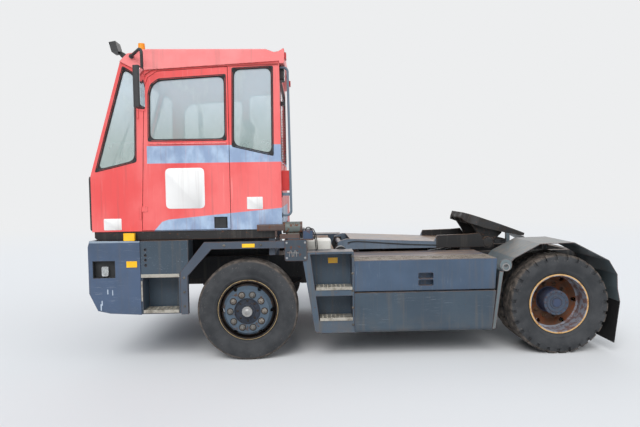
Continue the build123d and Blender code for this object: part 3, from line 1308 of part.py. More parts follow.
# Cab glass: fixed panes in the openings
with BuildPart() as cab_glass:
    with BuildSketch(across(CAB_RIGHT - CAB_WALL - 10 - PANE_FIT)):
        with BuildLine():
            Polyline(
                (rake_x(SCREEN_LOW_Z + PANE_FIT, 14), SCREEN_LOW_Z + PANE_FIT),
                (rake_x(SCREEN_HIGH_Z - PANE_FIT, 14), SCREEN_HIGH_Z - PANE_FIT),
                (rake_x(SCREEN_HIGH_Z - PANE_FIT, 14 + PANE), SCREEN_HIGH_Z - PANE_FIT),
                (rake_x(SCREEN_LOW_Z + PANE_FIT, 14 + PANE), SCREEN_LOW_Z + PANE_FIT),
                close=True,
            )
        make_face()
    extrude(amount=CAB_RIGHT - CAB_LEFT - 2 * (CAB_WALL + 10 + PANE_FIT))
    for y in (CAB_LEFT + 14 + PANE, CAB_RIGHT - 14):
        with BuildSketch(across(y)):
            with BuildLine():
                Polyline(*QUARTER, close=True)
            make_face()
            with BuildLine():
                Polyline(*REAR_SIDE, close=True)
            make_face()
            offset(amount=-PANE_FIT, mode=Mode.REPLACE)
        extrude(amount=PANE)
    with BuildSketch(across(CAB_RIGHT - 14)):
        with BuildLine():
            Polyline(*DOOR_GLASS, close=True)
        make_face()
        offset(amount=-PANE_FIT, mode=Mode.REPLACE)
    extrude(amount=PANE)
    with BuildSketch(Plane.YZ.offset(CAB_REAR_X - 20)):
        with Locations((REAR_GLASS[0], REAR_GLASS[1])):
            RectangleRounded(REAR_GLASS[2] - 2 * PANE_FIT, REAR_GLASS[3] - 2 * PANE_FIT, 60 - PANE_FIT)
    extrude(amount=PANE)
cab_glass.part.label = "cab_glass"
export_step(cab_glass.part, "parts/cab_glass.step")

# Door with its pane and fittings
with BuildPart() as door:
    with BuildSketch(across(CAB_LEFT + CAB_WALL)):
        with BuildLine():
            Polyline(*door_points(0), close=True)
        make_face()
    extrude(amount=CAB_WALL)
    with BuildSketch(across(CAB_LEFT + CAB_WALL)):
        with BuildLine():
            Polyline(*DOOR_GLASS, close=True)
        make_face()
    extrude(amount=CAB_WALL, mode=Mode.SUBTRACT)
    with BuildSketch(across(CAB_LEFT + 30)):
        with Locations((FRONT_X - 245, 1373)):
            Rectangle(130, 112)
    extrude(amount=31, mode=Mode.SUBTRACT)
    # Hinge knuckles that stand on the cab's barrels
    for z in HINGE_ZS:
        with BuildSketch(Plane.XY.offset(z + HINGE_H + SEAT_GAP)):
            with Locations((HINGE_X, HINGE_Y)):
                Circle(HINGE_R)
            with Locations((HINGE_X + 35, CAB_LEFT - 2.5)):
                Rectangle(70, 5)
        extrude(amount=HINGE_H - 20)
door.part.label = "door"
export_step(door.part, "parts/door.step")

with BuildPart() as door_glass:
    with BuildSketch(across(CAB_LEFT + 14 + PANE)):
        with BuildLine():
            Polyline(*DOOR_GLASS, close=True)
        make_face()
        offset(amount=-PANE_FIT, mode=Mode.REPLACE)
    extrude(amount=PANE)
door_glass.part.label = "door_glass"
export_step(door_glass.part, "parts/door_glass.step")

with BuildPart() as door_handle:
    with BuildSketch(across(CAB_LEFT + 30 - PANE_FIT)):
        with Locations((FRONT_X - 245, 1373)):
            Rectangle(130 - 2 * PANE_FIT, 112 - 2 * PANE_FIT)
    extrude(amount=14)
    with BuildSketch(across(CAB_LEFT + 20)):
        with Locations((FRONT_X - 225, 1373)):
            Rectangle(60, 96)
    extrude(amount=16)
door_handle.part.label = "door_handle"
export_step(door_handle.part, "parts/door_handle.step")

# Seat: pedestal, cushion and back rest
SEAT_X = FRONT_X - 330
SEAT_Y = CAB_MIDDLE
FLOOR_TOP = CAB_FLOOR_Z + CAB_WALL
with BuildPart() as seat_base:
    with BuildSketch(Plane.XY.offset(FLOOR_TOP + SEAT_GAP)):
        with Locations((SEAT_X, SEAT_Y)):
            Rectangle(380, 380)
    extrude(amount=330)
seat_base.part.label = "seat_base"
export_step(seat_base.part, "parts/seat_base.step")

with BuildPart() as seat_cushion:
    with BuildSketch(Plane.XY.offset(FLOOR_TOP + 330 + 2 * SEAT_GAP)):
        with Locations((SEAT_X, SEAT_Y)):
            RectangleRounded(500, 500, 60)
    extrude(amount=110)
seat_cushion.part.label = "seat_cushion"
export_step(seat_cushion.part, "parts/seat_cushion.step")

with BuildPart() as seat_back:
    with BuildSketch(across(SEAT_Y + 230)):
        with BuildLine():
            Polyline(
                (SEAT_X + 170, FLOOR_TOP + 441), (SEAT_X + 260, FLOOR_TOP + 1120),
                (SEAT_X + 350, FLOOR_TOP + 1120), (SEAT_X + 262, FLOOR_TOP + 400),
                (SEAT_X + 252, FLOOR_TOP + 441), close=True,
            )
        make_face()
    extrude(amount=460)
seat_back.part.label = "seat_back"
export_step(seat_back.part, "parts/seat_back.step")

# Dashboard with the steering column, and the steering wheel
with BuildPart() as dashboard:
    with BuildSketch(across(CAB_RIGHT - CAB_WALL - 1)):
        with BuildLine():
            Polyline(
                (CAB_FRONT_X + CAB_WALL + 1, FLOOR_TOP + SEAT_GAP), (CAB_FRONT_X + CAB_WALL + 1, 1840),
                (CAB_FRONT_X + 330, 1880), (CAB_FRONT_X + 360, 1800), (CAB_FRONT_X + 200, 1600),
                (CAB_FRONT_X + 150, FLOOR_TOP + SEAT_GAP), close=True,
            )
        make_face()
    extrude(amount=CAB_RIGHT - CAB_LEFT - 2 * CAB_WALL - 2)
    with BuildSketch(Plane((CAB_FRONT_X + 280, SEAT_Y, 1790), z_dir=(0.62, 0, 0.78))):
        Circle(45)
    extrude(amount=390)
dashboard.part.label = "dashboard"
export_step(dashboard.part, "parts/dashboard.step")

COLUMN_DIR = Vector(0.62, 0, 0.78).normalized()
WHEEL_PLANE = Plane(Vector(CAB_FRONT_X + 280, SEAT_Y, 1790) + COLUMN_DIR * (390 + SEAT_GAP), z_dir=COLUMN_DIR)
with BuildPart() as steering_wheel:
    with BuildSketch(WHEEL_PLANE):
        Circle(230)
        Circle(200, mode=Mode.SUBTRACT)
        Circle(50)
        for angle in (90, 210, 330):
            with PolarLocations(125, 1, angle):
                Rectangle(170, 36)
    extrude(amount=28)
steering_wheel.part.label = "steering_wheel"
export_step(steering_wheel.part, "parts/steering_wheel.step")

# Mirrors on pipe arms from the roof's front corners
MIRROR_IN = 1455.0
MIRROR_OUT = 1635.0
MIRROR_X = FRONT_X - 907
ARM_R = 14.0
ARM_TOP_Z = ROOF_TOP_Z - 32
with BuildPart() as mirrors:
    for s in (-1, 1):
        root = CAB_LEFT - ROOF_LIP if s < 0 else CAB_RIGHT + ROOF_LIP
        with BuildLine() as arm_path:
            FilletPolyline(
                (FRONT_X - 1060, root + s * 14, ARM_TOP_Z - 40), (MIRROR_X, s * (MIRROR_IN - 30), ARM_TOP_Z),
                (MIRROR_X, s * (MIRROR_IN - 30), ARM_TOP_Z - 390), radius=60,
            )
        with BuildSketch(Plane(arm_path.line @ 0, z_dir=arm_path.line % 0)):
            Circle(ARM_R)
        sweep(path=arm_path.line)
        with BuildSketch(across(max(root, root + s * 20))):
            with Locations((FRONT_X - 1060, ARM_TOP_Z - 40)):
                Circle(ARM_R + 8)
        extrude(amount=20)
        with BuildSketch(Plane.XY.offset(ARM_TOP_Z - 580)):
            with Locations((MIRROR_X, s * (MIRROR_IN + MIRROR_OUT) / 2)):
                RectangleRounded(60, MIRROR_OUT - MIRROR_IN, min(20, (MIRROR_OUT - MIRROR_IN) / 3))
        extrude(amount=370)
        with BuildSketch(Plane.XY.offset(ARM_TOP_Z - 400)):
            with Locations((MIRROR_X, s * (MIRROR_IN - 10))):
                Rectangle(40, 60)
        extrude(amount=40)
mirrors.part.label = "mirrors"
export_step(mirrors.part, "parts/mirrors.step")

# Lifting boom: plate box with a pivot tube, cylinder lugs and rear cheeks
PIVOT_TUBE_R = 55.0
with BuildPart() as boom:
    for s in (-1, 1):
        with BuildSketch(at_side(s, RAIL_IN + 37, RAIL_OUT)):
            with BuildLine():
                Polyline(
                    (BOOM_PIVOT_X - 40, BOOM_PIVOT_Z - 35), (BOOM_PIVOT_X - 40, BOOM_PIVOT_Z + 45),
                    BOOM_CREST, (BOOM_BEND_X, BOOM_TOP), (BOOM_END_X, BOOM_TOP),
                    (COUPLING_X + 60, COUPLING_Z + 50), (COUPLING_X + 65, COUPLING_Z - 50),
                    (BOOM_END_X, BOOM_BOTTOM), (BOOM_PIVOT_X + 100, BOOM_BOTTOM), close=True,
                )
            make_face()
            with Locations((COUPLING_X, COUPLING_Z)):
                Circle(COUPLING_BOSS_R)
            # Raised gussets in front of the coupling
            with BuildLine():
                Polyline(
                    (COUPLING_X - 610, BOOM_TOP - 5), (COUPLING_X - 574, BOOM_TOP + 74),
                    (COUPLING_X - 220, BOOM_TOP + 82), (COUPLING_X - 97, BOOM_TOP + 92),
                    (COUPLING_X - 40, BOOM_TOP - 5), close=True,
                )
            make_face()
        extrude(amount=RAIL_OUT - RAIL_IN - 37)
    # Top plate, bent where the boom stops tapering, and cross tubes
    with BuildSketch(across(RAIL_OUT)):
        with BuildLine():
            Polyline(
                (BOOM_CREST[0] + 40, BOOM_CREST[1] - 2), (BOOM_BEND_X, BOOM_TOP), (BOOM_END_X - 140, BOOM_TOP),
                (BOOM_END_X - 140, BOOM_TOP - BOOM_PLATE), (BOOM_BEND_X, BOOM_TOP - BOOM_PLATE),
                (BOOM_CREST[0] + 40, BOOM_CREST[1] - 2 - BOOM_PLATE), close=True,
            )
        make_face()
    extrude(amount=2 * RAIL_OUT)
    with BuildSketch(Plane.XY.offset(BOOM_BOTTOM)):
        with Locations((CYL_HEAD_X + 110, 0)):
            Rectangle(60, 2 * RAIL_OUT)
    extrude(amount=BOOM_TOP - BOOM_BOTTOM - BOOM_PLATE / 2)
    with BuildSketch(across(RAIL_OUT)):
        with Locations((BOOM_PIVOT_X, BOOM_PIVOT_Z)):
            Circle(PIVOT_R)
    extrude(amount=2 * RAIL_OUT)
    # Lugs and pins for the lift cylinders' rod eyes
    for s in (-1, 1):
        for y in (CYL_Y - 45, CYL_Y + 45):
            with BuildSketch(across(s * y + LUG_T / 2)):
                with Locations((CYL_HEAD_X, CYL_HEAD_Z)):
                    Circle(40)
                with Locations((CYL_HEAD_X + 45, CYL_HEAD_Z + 15)):
                    Rectangle(90, 70)
            extrude(amount=LUG_T)
        with BuildSketch(across(s * CYL_Y + 55)):
            with Locations((CYL_HEAD_X, CYL_HEAD_Z)):
                Circle(CYL_PIN_R)
        extrude(amount=110)
    # Coupling pivot bores
    with BuildSketch(across(RAIL_OUT + 1)):
        with Locations((COUPLING_X, COUPLING_Z)):
            Circle(PIVOT_R + RUNNING_FIT)
    extrude(amount=2 * RAIL_OUT + 2, mode=Mode.SUBTRACT)
boom.part.label = "boom"
export_step(boom.part, "parts/boom.step")

# Lift cylinders: barrel on the frame's pin, rod with an eye that has play on the boom's pin
cyl_run = Vector(CYL_HEAD_X - CYL_FOOT_X, 0, CYL_HEAD_Z - CYL_FOOT_Z)
cyl_dir = cyl_run.normalized()
ROD_SHOWN = 315.0
BARREL_LEN = cyl_run.length - ROD_SHOWN - 50
ROD_IN = 300.0
for side, s in SIDES:
    foot = Vector(CYL_FOOT_X, s * CYL_Y, CYL_FOOT_Z)
    head = Vector(CYL_HEAD_X, s * CYL_Y, CYL_HEAD_Z)
    with BuildPart() as lift_barrel:
        with BuildSketch(Plane(foot + cyl_dir * 50, z_dir=cyl_dir)):
            Circle(CYL_R)
        extrude(amount=BARREL_LEN)
        with BuildSketch(Plane(foot + cyl_dir * (ROD_IN - 20), z_dir=cyl_dir)):
            Circle(ROD_R + RUNNING_FIT)
        extrude(amount=BARREL_LEN, mode=Mode.SUBTRACT)
        with BuildSketch(across(s * CYL_Y + 28)):
            with Locations((CYL_FOOT_X, CYL_FOOT_Z)):
                Circle(38)
        extrude(amount=56)
        with BuildSketch(Plane(foot, z_dir=cyl_dir)):
            Rectangle(50, 60)
        extrude(amount=60)
        with BuildSketch(across(s * CYL_Y + 50)):
            with Locations((CYL_FOOT_X, CYL_FOOT_Z)):
                Circle(CYL_PIN_R + RUNNING_FIT)
        extrude(amount=100, mode=Mode.SUBTRACT)
    lift_barrel.part.label = f"lift_barrel_{side}"
    export_step(lift_barrel.part, f"parts/lift_barrel_{side}.step")

    with BuildPart() as lift_rod:
        with BuildSketch(Plane(foot + cyl_dir * ROD_IN, z_dir=cyl_dir)):
            Circle(ROD_R)
        extrude(amount=cyl_run.length - ROD_IN)
        with BuildSketch(across(s * CYL_Y + 28)):
            with Locations((CYL_HEAD_X, CYL_HEAD_Z)):
                Circle(CYL_PIN_R + EYE_PLAY + 16)
        extrude(amount=56)
        with BuildSketch(across(s * CYL_Y + 50)):
            with Locations((CYL_HEAD_X, CYL_HEAD_Z)):
                Circle(CYL_PIN_R + EYE_PLAY)
        extrude(amount=100, mode=Mode.SUBTRACT)
    lift_rod.part.label = f"lift_rod_{side}"
    export_step(lift_rod.part, f"parts/lift_rod_{side}.step")

# Fifth wheel: ribbed plate with a throat and a closed jaw, tilted back at rest
tilt = math.radians(COUPLING_TILT)
u_dir = Vector(math.cos(tilt), 0, -math.sin(tilt))
v_dir = Vector(math.sin(tilt), 0, math.cos(tilt))
pivot = Vector(COUPLING_X, 0, COUPLING_Z)
SKIN_T = 16.0
SKIRT = 100.0
RIB_T = 14.0
JAW_R = 26.0
JAW_U = 10.0
JAW_HALF = 52.0
JAW_T = 48.0
COUPLING_LINE = (
    # u from the pivot, half width
    (-335, 240),
    (-290, 390),
    (-190, 450),
    (60, 450),
    (330, 340),
    (420, 265),
    (437, 232),
    (437, 190),
    (200, 75),
    (JAW_U + JAW_HALF - 2, 34),
)
top_plane = Plane(pivot + v_dir * COUPLING_RISE, x_dir=u_dir, z_dir=v_dir)
side_plane = Plane(pivot, x_dir=u_dir, z_dir=(0, -1, 0))
coupling_points = [(u, -y) for u, y in COUPLING_LINE] + [(u, y) for u, y in reversed(COUPLING_LINE)]
with BuildPart() as fifth_wheel:
    with BuildSketch(top_plane):
        with BuildLine():
            Polyline(*coupling_points, close=True)
        make_face()
    extrude(amount=-SKIRT)
    # Hollow below the skin, with the ribs left standing
    with BuildSketch(top_plane.offset(-SKIN_T)):
        with BuildLine():
            Polyline(*coupling_points, close=True)
        make_face()
        offset(amount=-RIB_T, mode=Mode.REPLACE)
        with Locations((0, -250), (0, -120), (0, 120), (0, 250)):
            Rectangle(1000, RIB_T, mode=Mode.SUBTRACT)
        with Locations((-190, 0), (-80, 0)):
            Rectangle(RIB_T, 1000, mode=Mode.SUBTRACT)
    extrude(amount=-SKIRT, mode=Mode.SUBTRACT)
    # Underside: rolled front edge, rising towards the rear
    with BuildSketch(side_plane):
        with BuildLine():
            Polyline(
                (-350, 182), (-337, 182), (-290, 141), (-100, 141), (160, 168), (300, 190),
                (460, 212), (460, 100), (-350, 100), close=True,
            )
        make_face()
    extrude(amount=SIDE, both=True, mode=Mode.SUBTRACT)
    with BuildSketch(top_plane):
        with Locations((JAW_U, 0)):
            Rectangle(2 * JAW_HALF, 2 * JAW_HALF)
    extrude(amount=-JAW_T)
    with BuildSketch(top_plane):
        with Locations((JAW_U, 0)):
            Circle(JAW_R)
    extrude(amount=-SKIRT, mode=Mode.SUBTRACT)
    # Cheeks down to the pivot bar
    for s in (-1, 1):
        with BuildSketch(side_plane.offset(-s * (CHEEK_IN + CHEEK_OUT) / 2)):
            Circle(55)
            with BuildLine():
                Polyline(
                    (-55, -10), (-134, 73), (-224, 141), (-224, 190), (140, 190), (140, 150), (55, -10),
                    close=True,
                )
            make_face()
        extrude(amount=(CHEEK_OUT - CHEEK_IN) / 2, both=True)
        with BuildSketch(at_side(s, RAIL_OUT + SEAT_GAP, RAIL_OUT + 8)):
            with Locations((COUPLING_X, COUPLING_Z)):
                Circle(PIVOT_R + 18)
        extrude(amount=8 - SEAT_GAP)
    with BuildSketch(across(RAIL_OUT + 1)):
        with Locations((COUPLING_X, COUPLING_Z)):
            Circle(PIVOT_R)
    extrude(amount=2 * RAIL_OUT + 2)
fifth_wheel.part.label = "fifth_wheel"
export_step(fifth_wheel.part, "parts/fifth_wheel.step")
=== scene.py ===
"""Looks of the terminal tractor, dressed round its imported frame, in metres."""

import json
import logging
import math
from dataclasses import dataclass
from enum import Enum
from typing import Sequence

import bmesh
import bpy
from mathutils import Matrix, Vector

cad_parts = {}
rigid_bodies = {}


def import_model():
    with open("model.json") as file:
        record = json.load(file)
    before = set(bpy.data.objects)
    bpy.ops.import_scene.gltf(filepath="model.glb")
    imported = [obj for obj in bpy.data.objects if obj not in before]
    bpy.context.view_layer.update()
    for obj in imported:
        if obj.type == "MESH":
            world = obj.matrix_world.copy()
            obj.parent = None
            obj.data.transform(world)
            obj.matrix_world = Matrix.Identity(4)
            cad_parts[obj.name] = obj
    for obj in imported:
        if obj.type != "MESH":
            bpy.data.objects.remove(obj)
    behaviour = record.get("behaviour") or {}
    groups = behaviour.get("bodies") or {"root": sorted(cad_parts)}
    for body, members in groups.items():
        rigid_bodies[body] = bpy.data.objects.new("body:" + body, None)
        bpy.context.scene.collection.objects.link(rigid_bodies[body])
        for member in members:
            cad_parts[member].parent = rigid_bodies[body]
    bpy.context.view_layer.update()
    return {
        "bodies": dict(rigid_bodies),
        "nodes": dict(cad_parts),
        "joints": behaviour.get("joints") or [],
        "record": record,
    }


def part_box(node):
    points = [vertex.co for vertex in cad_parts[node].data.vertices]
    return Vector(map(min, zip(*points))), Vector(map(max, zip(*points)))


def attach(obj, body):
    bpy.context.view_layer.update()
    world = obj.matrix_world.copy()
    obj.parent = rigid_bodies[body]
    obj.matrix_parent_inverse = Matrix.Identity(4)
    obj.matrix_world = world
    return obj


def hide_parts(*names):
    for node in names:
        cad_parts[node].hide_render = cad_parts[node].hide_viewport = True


LOG = logging.getLogger("tractor")
MM = 0.001

Point = tuple[float, float, float]
Row = tuple[float, float]
Socket = bpy.types.NodeSocket
Shape = bmesh.types.BMesh
Material = bpy.types.Material
Accents = tuple[tuple[str, tuple[float, ...]], ...]

ORIGIN: Point = (0.0, 0.0, 0.0)
SIDES = (("left", -1.0), ("right", 1.0))
FRONT_X = -1.085
REAR_X = 2.015
AXLE_Z = 0.5
TYRE_RADIUS = 0.5


# Colour and node helpers


def linear(hex_colour: str) -> tuple[float, float, float, float]:
    """Turn an sRGB hex colour into a linear one.

    Args:
        hex_colour: Six hex digits after a hash sign.

    Returns:
        Red, green, blue and an alpha of 1, in linear light.
    """
    parts = [int(hex_colour[i : i + 2], 16) / 255 for i in (1, 3, 5)]
    red, green, blue = (c / 12.92 if c <= 0.04045 else ((c + 0.055) / 1.055) ** 2.4 for c in parts)
    return red, green, blue, 1.0


def add_node(tree: bpy.types.NodeTree, kind: str, inputs: dict | None = None,
             **settings: object) -> bpy.types.Node:
    """Add one node with its settings and its input values or links.

    Args:
        tree: The node tree that takes the node.
        kind: The node's type name.
        inputs: Socket name or number, with a value or a socket to link from.
        settings: The node's own properties.

    Returns:
        The new node.
    """
    node = tree.nodes.new(kind)
    for name, value in settings.items():
        setattr(node, name, value)
    for key, value in (inputs or {}).items():
        if isinstance(value, bpy.types.NodeSocket):
            tree.links.new(value, node.inputs[key])
        else:
            node.inputs[key].default_value = value
    return node


class Lay(Enum):
    """The direction in which scratches and brush marks run."""

    LEVEL = (6.0, 6.0, 420.0)
    UPRIGHT = (260.0, 260.0, 5.0)
    MIXED = (70.0, 90.0, 110.0)


@dataclass
class Shader:
    """A material under construction, with short ways to its common patterns."""

    name: str

    def __post_init__(self) -> None:
        """Start an empty material with object coordinates at hand."""
        self.material = bpy.data.materials.new(self.name)
        self.material.use_nodes = True
        self.tree = self.material.node_tree
        self.tree.nodes.clear()
        self.place = add_node(self.tree, "ShaderNodeTexCoord").outputs["Object"]

    def noise(self, scale: float, detail: float = 4.0, stretch: Sequence[float] = (1.0, 1.0, 1.0),
              shift: float = 0.0, rough: float = 0.55) -> Socket:
        """A cloudy pattern on object coordinates.

        Args:
            scale: Cells in a metre.
            detail: Octaves of finer cloud.
            stretch: Factor on each axis.
            shift: Moves the pattern, so that two of them differ.
            rough: Weight of the finer octaves.

        Returns:
            The pattern's value, about 0.5 on average.
        """
        mapped = add_node(self.tree, "ShaderNodeMapping", {
            "Vector": self.place, "Location": (shift, shift * 0.7, shift * 1.3), "Scale": tuple(stretch)})
        cloud = add_node(self.tree, "ShaderNodeTexNoise", {
            "Vector": mapped.outputs[0], "Scale": scale, "Detail": detail, "Roughness": rough})
        return cloud.outputs["Fac"]

    def step(self, value: Socket, low: float, high: float, out_low: float = 0.0,
             out_high: float = 1.0) -> Socket:
        """Spread a value from one range smoothly over another.

        Args:
            value: The value that is spread.
            low: Where the step starts.
            high: Where the step ends.
            out_low: What comes out before the step.
            out_high: What comes out after it.

        Returns:
            The spread value.
        """
        return add_node(self.tree, "ShaderNodeMapRange", {
            "Value": value, "From Min": low, "From Max": high, "To Min": out_low, "To Max": out_high},
            interpolation_type="SMOOTHSTEP").outputs[0]

    def chain(self, operation: str, *values: Socket | float) -> Socket:
        """Join any number of masks or heights, held between 0 and 1 after each of them.

        Args:
            operation: MULTIPLY for where all hold, ADD for where any does, SUBTRACT to cut the others out.
            values: Two masks or more, or fixed shares.

        Returns:
            The joined value.
        """
        joined = values[0]
        for value in values[1:]:
            joined = add_node(self.tree, "ShaderNodeMath", {0: joined, 1: value}, operation=operation,
                              use_clamp=True).outputs[0]
        return joined

    def coat(self, under: Socket | str, over: Socket | str, *masks: Socket | float) -> Socket:
        """Lay one colour over another where all the masks hold.

        Args:
            under: The colour below, a socket or a hex colour.
            over: The colour on top, a socket or a hex colour.
            masks: One mask or more, or fixed shares.

        Returns:
            The mixed colour.
        """
        ends = [linear(c) if isinstance(c, str) else c for c in (under, over)]
        share = self.chain("MULTIPLY", *masks)
        return add_node(self.tree, "ShaderNodeMix", {0: share, 6: ends[0], 7: ends[1]},
                        data_type="RGBA").outputs[2]

    def past(self, axis: str, low: float, high: float) -> Socket:
        """A mask that grows from 0 to 1 along X, Y or Z, in metres, and falls where high is below low."""
        along = add_node(self.tree, "ShaderNodeSeparateXYZ", {0: self.place}).outputs[axis]
        return self.step(along, low, high)

    def within(self, box: Sequence[float]) -> Socket:
        """A mask of the surface inside a box.

        Args:
            box: Its two sides along X, then along Y, then along Z, in metres.

        Returns:
            1 inside the box and 0 outside.
        """
        walls = [(self.past(axis, low - MM, low + MM), self.past(axis, high + MM, high - MM))
                 for axis, low, high in zip("XYZ", box[::2], box[1::2])]
        return self.chain("MULTIPLY", *(wall for pair in walls for wall in pair))

    def from_axle(self, centre_x: float) -> Socket:
        """How far each point is from an axle that runs across.

        Args:
            centre_x: The axle's place along the tractor.

        Returns:
            The distance, in metres.
        """
        mapped = add_node(self.tree, "ShaderNodeMapping", {
            "Vector": self.place, "Location": (-centre_x, 0.0, -AXLE_Z), "Scale": (1.0, 0.0, 1.0)})
        return add_node(self.tree, "ShaderNodeVectorMath", {0: mapped.outputs[0]},
                        operation="LENGTH").outputs["Value"]

    def upward(self) -> Socket:
        """A mask that is 1 on faces that look up."""
        normal = add_node(self.tree, "ShaderNodeNewGeometry").outputs["Normal"]
        return self.step(add_node(self.tree, "ShaderNodeSeparateXYZ", {0: normal}).outputs["Z"], 0.55, 0.9)

    def edges(self, width: float) -> tuple[Socket, Socket]:
        """Find corners and edges.

        Args:
            width: How far wear reaches from the edge, in metres.

        Returns:
            A mask that is 1 on edges, and a normal that rounds them.
        """
        bevel = add_node(self.tree, "ShaderNodeBevel", {"Radius": width}, samples=4)
        flat = add_node(self.tree, "ShaderNodeNewGeometry").outputs["Normal"]
        same = add_node(self.tree, "ShaderNodeVectorMath", {0: bevel.outputs[0], 1: flat},
                        operation="DOT_PRODUCT")
        return self.step(same.outputs["Value"], 0.995, 0.86), bevel.outputs[0]

    def rusty(self, edge: Socket, scale: float, spots: Row, worn: Row) -> Socket:
        """Find where rust breaks through.

        Args:
            edge: A mask that is 1 on edges.
            scale: Pits in a metre.
            spots: Range of the pitted noise over which spots come up on the flat.
            worn: Range of it over which the edges are worn through.

        Returns:
            A mask that is 1 on rust.
        """
        pits = self.noise(scale, 8.0, shift=19.0, rough=0.62)
        return self.chain("ADD", self.step(pits, *spots),
                          self.chain("MULTIPLY", edge, self.step(pits, *worn)))

    def finish(self, inputs: dict, bump: Socket | None = None, depth: float = 0.0,
               normal: Socket | None = None) -> Material:
        """Close the material with a principled shader.

        Args:
            inputs: The shader's sockets with values or links.
            bump: Height of fine relief, 0 to 1.
            depth: Real height of that relief, in metres.
            normal: A normal that the relief starts from.

        Returns:
            The finished material.
        """
        shader = add_node(self.tree, "ShaderNodeBsdfPrincipled", inputs)
        if bump is not None:
            relief = add_node(self.tree, "ShaderNodeBump",
                              {"Height": bump, "Distance": depth, "Strength": 1.0})
            if normal is not None:
                self.tree.links.new(normal, relief.inputs["Normal"])
            self.tree.links.new(relief.outputs[0], shader.inputs["Normal"])
        add_node(self.tree, "ShaderNodeOutputMaterial", {"Surface": shader.outputs[0]})
        return self.material


# Finishes


@dataclass(frozen=True)
class Enamel:
    """Brushed and sprayed alkyd enamel on sheet steel: chalked, scratched, and rusty along its edges."""

    name: str
    colour: str
    faded: str
    soil: str = "#5F5850"
    rust: str = "#7A4A30"
    scuff: str = "#B9BFC6"
    fade_share: float = 0.5
    streak_share: float = 0.25
    scratch_share: float = 0.3
    rust_share: float = 0.2
    edge_share: float = 0.6
    soil_top: float = 0.0
    lay: Lay = Lay.MIXED
    roughness: float = 0.45
    edge_width: float = 0.006
    top_dust: float = 0.0
    accents: Accents = ()

    def build(self) -> Material:
        """Lay down colour, chalking, rain streaks, scratches, rust, deck dust and road soil in that order.

        Returns:
            The material.
        """
        s = Shader(self.name)
        edge, round_normal = s.edges(self.edge_width)
        colour = s.coat(self.colour, self.faded, s.step(s.noise(2.2, 5.0), 0.35, 0.68), self.fade_share)
        for shade, box in self.accents:
            colour = s.coat(colour, shade, s.within(box))
        streaks = s.step(s.noise(1.0, 4.0, (22.0, 22.0, 1.1), 3.0), 0.5, 0.72)
        colour = s.coat(colour, self.soil, streaks, self.streak_share)
        lines = s.step(s.noise(1.0, 3.0, self.lay.value, 7.0, 0.7), 0.63, 0.7)
        patches = s.step(s.noise(3.5, 3.0, shift=11.0), 0.45, 0.62)
        colour = s.coat(colour, self.scuff, lines, patches, self.scratch_share)
        spots, worn = 0.72 - 0.2 * self.rust_share, 0.62 - 0.4 * self.edge_share
        rusty = s.rusty(edge, 24.0, (spots, spots + 0.06), (worn, worn + 0.12))
        colour = s.coat(colour, s.coat("#3E2A20", self.rust, s.noise(60.0, 4.0, shift=5.0)), rusty)
        if self.top_dust > 0:
            trails = s.step(s.noise(1.0, 5.0, (1.6, 34.0, 34.0), 41.0, 0.65), 0.36, 0.6)
            dust = s.coat("#6B4E3A", "#B49A80", s.noise(12.0, 5.0, shift=2.0))
            colour = s.coat(colour, dust, s.upward(), trails, self.top_dust)
        if self.soil_top > 0:
            splash = s.step(s.noise(9.0, 6.0, shift=23.0), 0.3, 0.75)
            colour = s.coat(colour, self.soil, s.past("Z", self.soil_top, 0.1), splash, 0.8)
        relief = s.chain("SUBTRACT", s.noise(90.0, 3.0, shift=31.0), s.chain("MULTIPLY", rusty, 0.35))
        return s.finish({"Base Color": colour, "Roughness": s.step(rusty, 0.0, 1.0, self.roughness, 0.88),
                         "Specular IOR Level": 0.45}, relief, 0.0006, round_normal)


